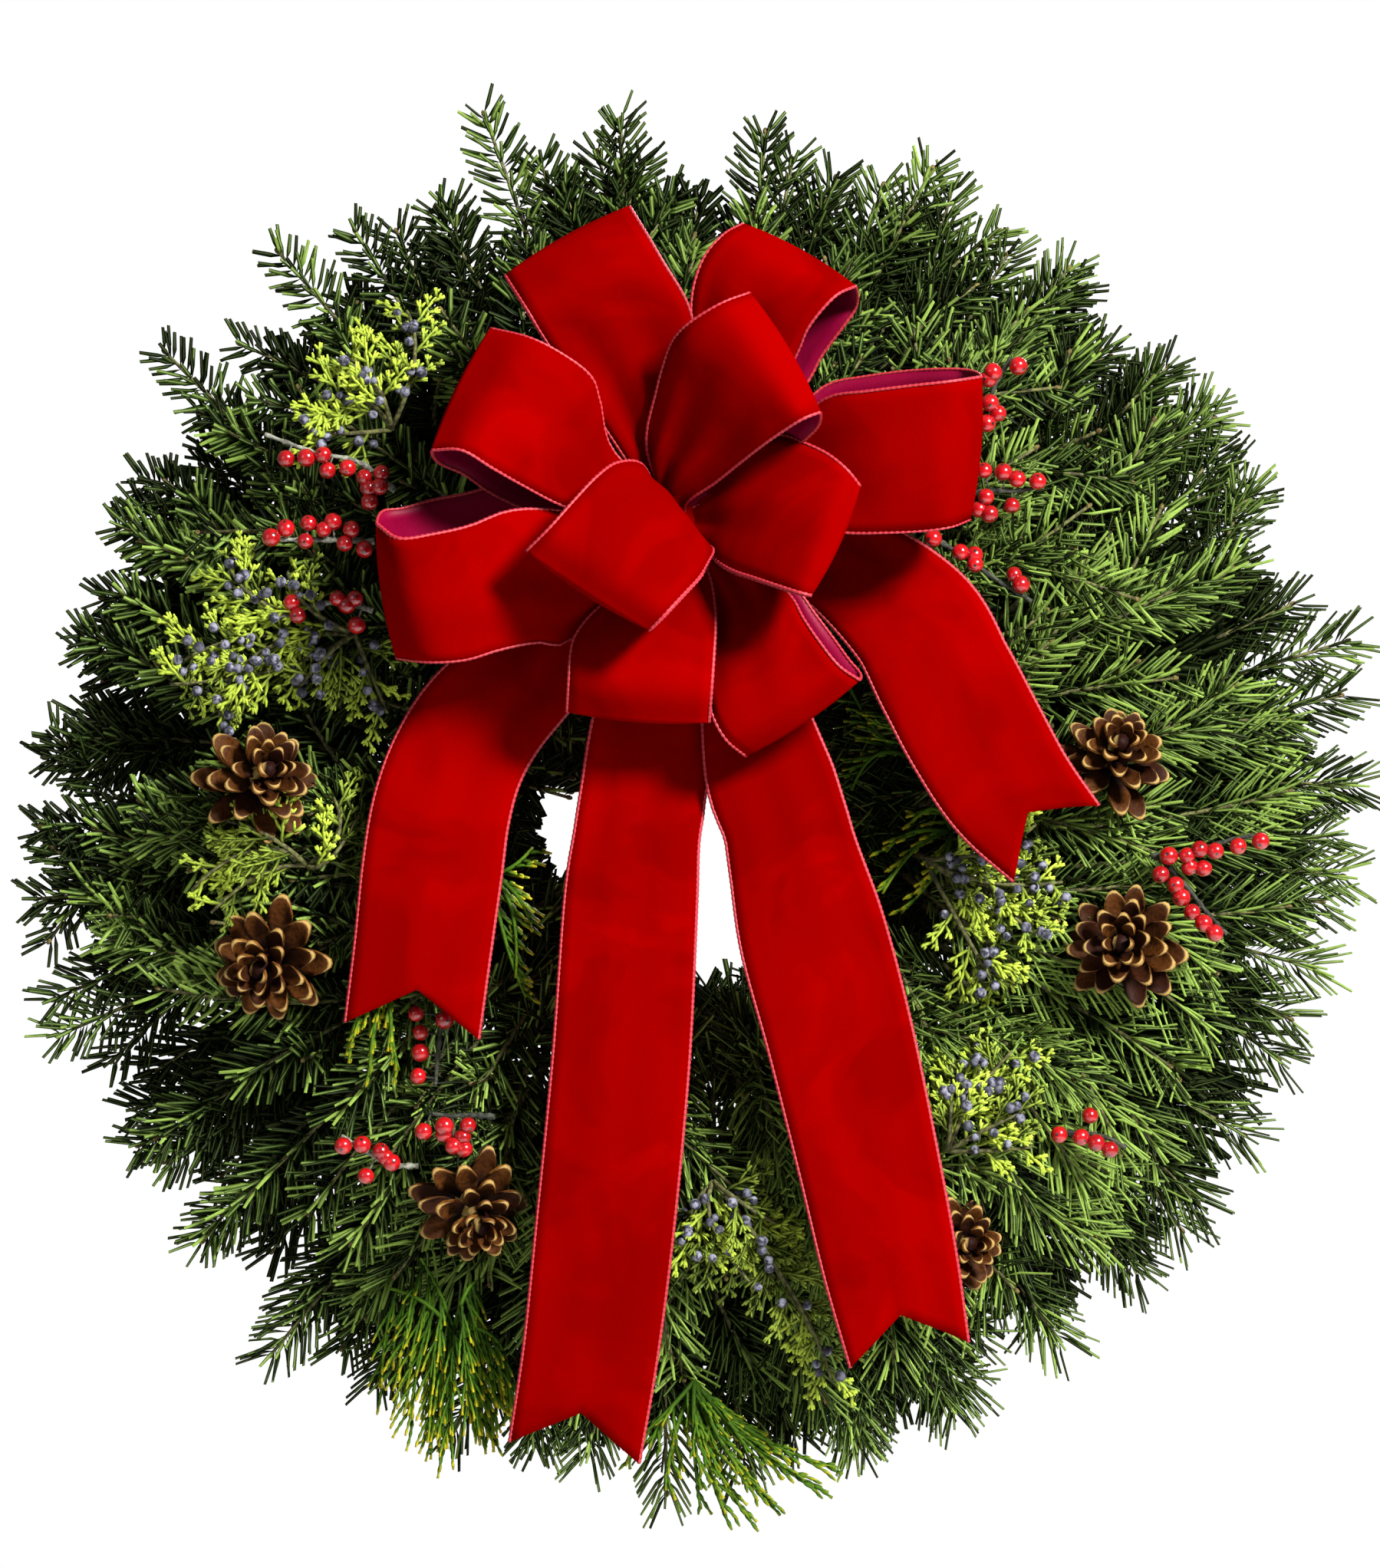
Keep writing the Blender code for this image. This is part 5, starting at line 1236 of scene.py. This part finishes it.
def loop_grid(numbers, rows, number):
    """Grid of one loop's cloth, out from the knot along its front, round its fold and back behind."""
    depths, half_thick, back = numbers[:2], numbers[2], numbers[3:]
    pixels = [pairs(row) for row in rows]
    fold_a, fold_b = (seen(pixel, depth) for pixel, depth in zip(pixels[0], depths))
    pinch = unit(fold_b - fold_a) * RIBBON_WIDTH / 2 * LOOP_PINCH
    edges = [[KNOT - pinch], [KNOT + pinch]]
    for k in range(len(rows) - 1, -1, -1):
        out = 1 - k / len(rows)
        lift = half_thick * loop_lift(math.acos(1 - 2 * out))
        for edge, pixel, depth in zip(edges, pixels[k], depths):
            edge.append(seen(pixel, KNOT_DEPTH + (depth - KNOT_DEPTH) * out + lift))
    turn = 2 * np.pi * (LOOP_START + (1 - 2 * LOOP_START) * np.arange(LOOP_STEPS + 1) / LOOP_STEPS)
    out = (1 - np.cos(turn)) / 2
    back = np.array([back[0] * PIXEL, 2 * half_thick, -back[1] * PIXEL])
    behind = np.where(turn > np.pi, loop_lift(2 * np.pi - turn), 0.0)[:, None] * back
    edge_a, edge_b = (smooth_route(edge, out) + behind for edge in edges)
    across = np.linspace(-1, 1, CLOTH_COLUMNS)[None]
    grid = (edge_a + edge_b)[:, None] / 2 + (edge_b - edge_a)[:, None] / 2 * across[..., None]
    faces = unit(np.cross(np.gradient((edge_a + edge_b) / 2, axis=0), edge_b - edge_a))
    if faces[LOOP_STEPS // 4] @ FRONT < 0:
        faces = -faces
    narrow = narrowness(np.linalg.norm(edge_b - edge_a, axis=1))
    pleat = 0.03 * RIBBON_WIDTH * narrow * stretch(0.75, 0.0, out)
    wave = np.cos(np.pi * (2.5 * across + 0.7 * number) + 2.2 * out[:, None])
    crown = 0.0022 * (1 - across**2) * np.sin(turn / 2)[:, None]
    crease = 0.0009 * np.sin(7 * across + 5 * out[:, None] + number) * stretch(1.0, 0.4, out)[:, None]
    grid = grid + faces[:, None] * (pleat[:, None] * wave + crown + crease)[..., None]
    return grid, grid_normals(grid, faces)


# Pixels of the left and right edges of each tail, and its depth, from its end to the knot
TAIL_LEFT_SHORT = (
    (450, 1334, 624, 1354, 0.094), (463, 1230, 640, 1232, 0.093), (473, 1130, 653, 1140, 0.092),
    (487, 1045, 663, 1068, 0.09), (515, 965, 680, 1012, 0.088), (560, 898, 712, 958, 0.086),
    (650, 820, 770, 890, 0.0852), (775, 730, 830, 795, 0.085), (872, 655, 872, 699, 0.085),
)
TAIL_RIGHT_SHORT = (
    (1320, 1147, 1434, 1052, 0.104), (1243, 1075, 1388, 985, 0.101), (1192, 1000, 1350, 915, 0.097),
    (1152, 925, 1313, 845, 0.093), (1113, 850, 1262, 762, 0.089), (1040, 775, 1140, 685, 0.086),
    (950, 725, 985, 660, 0.085), (896, 699, 896, 655, 0.085),
)
TAIL_LEFT_LONG = (
    (664, 1883, 833, 1906, 0.09), (683, 1758, 857, 1762, 0.094), (700, 1594, 878, 1597, 0.098),
    (721, 1380, 898, 1382, 0.097), (736, 1176, 908, 1176, 0.094), (749, 1090, 911, 1092, 0.092),
    (757, 1040, 918, 1040, 0.091), (775, 930, 926, 930, 0.0895), (802, 800, 872, 800, 0.0886),
    (872, 653, 872, 701, 0.0883),
)
TAIL_RIGHT_LONG = (
    (1109, 1784, 1262, 1748, 0.104), (1075, 1666, 1245, 1628, 0.106), (1043, 1533, 1219, 1488, 0.104),
    (1002, 1370, 1187, 1332, 0.101), (966, 1237, 1152, 1200, 0.099), (951, 1133, 1118, 1108, 0.097),
    (943, 1082, 1103, 1060, 0.096), (921, 1020, 1080, 990, 0.0945), (912, 890, 1028, 880, 0.0925),
    (904, 790, 962, 785, 0.091), (896, 701, 896, 653, 0.09),
)
NOTCH_DEPTH = 0.018
TAIL_STEPS = 130


def tail_grid(left, right, number):
    """Grid of two tails' cloth, pinched where they meet, with a swallow-tail cut at each end."""
    rows = [(seen(row[:2], row[4]), seen(row[2:4], row[4])) for row in left]
    rows += [(seen(row[2:4], row[4]), seen(row[:2], row[4])) for row in reversed(right)]
    middles = [(a + b) / 2 for a, b in rows]
    sides = [unit(b - a) for a, b in rows]
    widths = [[min(np.linalg.norm(b - a), RIBBON_WIDTH), 0, 0] for a, b in rows]
    fine = np.linspace(0, 1, 900)
    at = way_along(smooth_route(middles, fine))
    across = np.linspace(-1, 1, CLOTH_COLUMNS)
    notch = NOTCH_DEPTH * (1 - np.abs(across))
    spot = notch + (at[-1] - 2 * notch) * np.linspace(0, 1, TAIL_STEPS + 1)[:, None]
    t = np.interp(spot, at, fine)
    after, before = np.minimum(t + 0.004, 1), np.maximum(t - 0.004, 0)
    along = unit(smooth_route(middles, after) - smooth_route(middles, before))
    side = smooth_route(sides, t)
    side = unit(side - along * (side * along).sum(-1, keepdims=True))
    half = smooth_route(widths, t)[..., :1] / 2
    face = np.cross(along, side)
    face = face * np.where(face[..., 1:2] > 0, -1, 1)
    free = stretch(0.03, 0.12, np.abs(t - 0.5) * at[-1])
    sway = 0.0013 * np.sin(spot / 0.021 + number) * across + 0.0011 * np.sin(spot / 0.034 + 2 * number)
    pleat = 0.001 * narrowness(2 * half[..., 0]) * np.cos(np.pi * 2.5 * across + number)
    crown = 0.001 * (1 - across**2)
    proud = (sway + crown) * free + pleat
    grid = smooth_route(middles, t) + side * half * across[:, None] + face * proud[..., None]
    return grid, grid_normals(grid, face[:, CLOTH_COLUMNS // 2])


def build_ribbon(name, grids, knot=False):
    """One length of ribbon with its two stitched edges, and the small knot where it has one."""
    pile, thread = Pile(), Pile()
    cut = 0.0
    for grid, normals in grids:
        cut += way_along(grid[:, CLOTH_COLUMNS // 2])[-1]
        cloth(pile, grid, normals)
        for column in (0, -1):
            stitched_edge(thread, grid[:, column], normals[0, column])
    if knot:
        ball(pile, KNOT, KNOT_BALL, FRONT, sides=20, rings=14)
    ribbon = piece(name + "_ribbon", pile, (VELVET, SATIN), "velvet_ribbon", name)
    edge = piece(name + "_edging", thread, (EDGING,), "velvet_ribbon")


# Floor, lights and camera

# Each lamp's place, side and power
LAMPS = {
    "key": ((1.65, -2.25, 1.4), 0.6, 290.0),
    "fill": ((-1.8, -2.2, 0.4), 1.6, 9.0),
    "back": ((0.8, 2.2, 0.9), 1.2, 110.0),
}
SOFT_LIGHT = 0.15
FLOOR_SIZE = 8.0
FLOOR_BELOW = 1.45


def build_world(scene):
    """White behind the wreath, and a dimmer soft light from all round."""
    world = bpy.data.worlds.new("studio")
    world.use_nodes = True
    nodes, links = world.node_tree.nodes, world.node_tree.links
    soft, white = nodes["Background"], nodes.new("ShaderNodeBackground")
    for light, strength in ((soft, SOFT_LIGHT), (white, 1.0)):
        light.inputs["Color"].default_value = (1, 1, 1, 1)
        light.inputs["Strength"].default_value = strength
    ray, mix = nodes.new("ShaderNodeLightPath"), nodes.new("ShaderNodeMixShader")
    links.new(ray.outputs["Is Camera Ray"], mix.inputs[0])
    links.new(soft.outputs[0], mix.inputs[1])
    links.new(white.outputs[0], mix.inputs[2])
    links.new(mix.outputs[0], nodes["World Output"].inputs["Surface"])
    scene.world = world


def build_stage():
    scene = bpy.context.scene
    bpy.ops.mesh.primitive_plane_add(size=FLOOR_SIZE, location=(0, 0, CENTRE_Z - FLOOR_BELOW))
    floor = bpy.context.object
    floor.name = "floor"
    tree = Tree("floor_paint", 0.85)
    paint = tree.coats((0.8, 0.8, 0.79), (tree.noise(3.0), (0.84, 0.84, 0.83)))
    floor.data.materials.append(tree.finish(paint))
    floor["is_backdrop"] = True
    build_world(scene)
    for name, (spot, size, power) in LAMPS.items():
        lamp = bpy.data.lights.new(name, "AREA")
        lamp.size, lamp.energy = size, power
        held = bpy.data.objects.new(name, lamp)
        held.location = spot
        way = Vector((0, 0, CENTRE_Z)) - held.location
        held.rotation_euler = way.to_track_quat("-Z", "Y").to_euler()
        scene.collection.objects.link(held)
    lens = bpy.data.cameras.new("camera")
    lens.sensor_fit = "HORIZONTAL"
    lens.sensor_width = SENSOR
    lens.lens = SENSOR * EYE_DISTANCE / (PICTURE_WIDTH * PIXEL)
    eye = bpy.data.objects.new("camera", lens)
    eye.location = (0, -(RIM_DEPTH + EYE_DISTANCE), CENTRE_Z + EYE_ABOVE_CENTRE)
    eye.rotation_euler = (math.pi / 2, 0, 0)
    scene.collection.objects.link(eye)
    scene.camera = eye
    scene.view_settings.view_transform = "Standard"


build_ring()
build_fir(np.random.default_rng(FIR_SEED))
for build, things, seed in (
    (build_cone, CONES, CONE_SEED),
    (build_berries, BERRY_PICKS, BERRY_SEED),
    (build_green, GREENS, GREEN_SEED),
):
    for number, (name, row) in enumerate(things.items()):
        build(Pile(), np.random.default_rng(seed + number), name, row, number)
loops = [loop_grid(numbers, rows, k) for k, (numbers, *rows) in enumerate(BOW_LOOPS)]
build_ribbon("bow_loops", loops, knot=True)
build_ribbon("bow_tails_short", [tail_grid(TAIL_LEFT_SHORT, TAIL_RIGHT_SHORT, 1)])
build_ribbon("bow_tails_long", [tail_grid(TAIL_LEFT_LONG, TAIL_RIGHT_LONG, 2)])
build_tie()
build_stage()

boxes = {"cad": cad_box, "visual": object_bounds()}
{key: [[float(v) for v in corner] for corner in box] for key, box in boxes.items()}
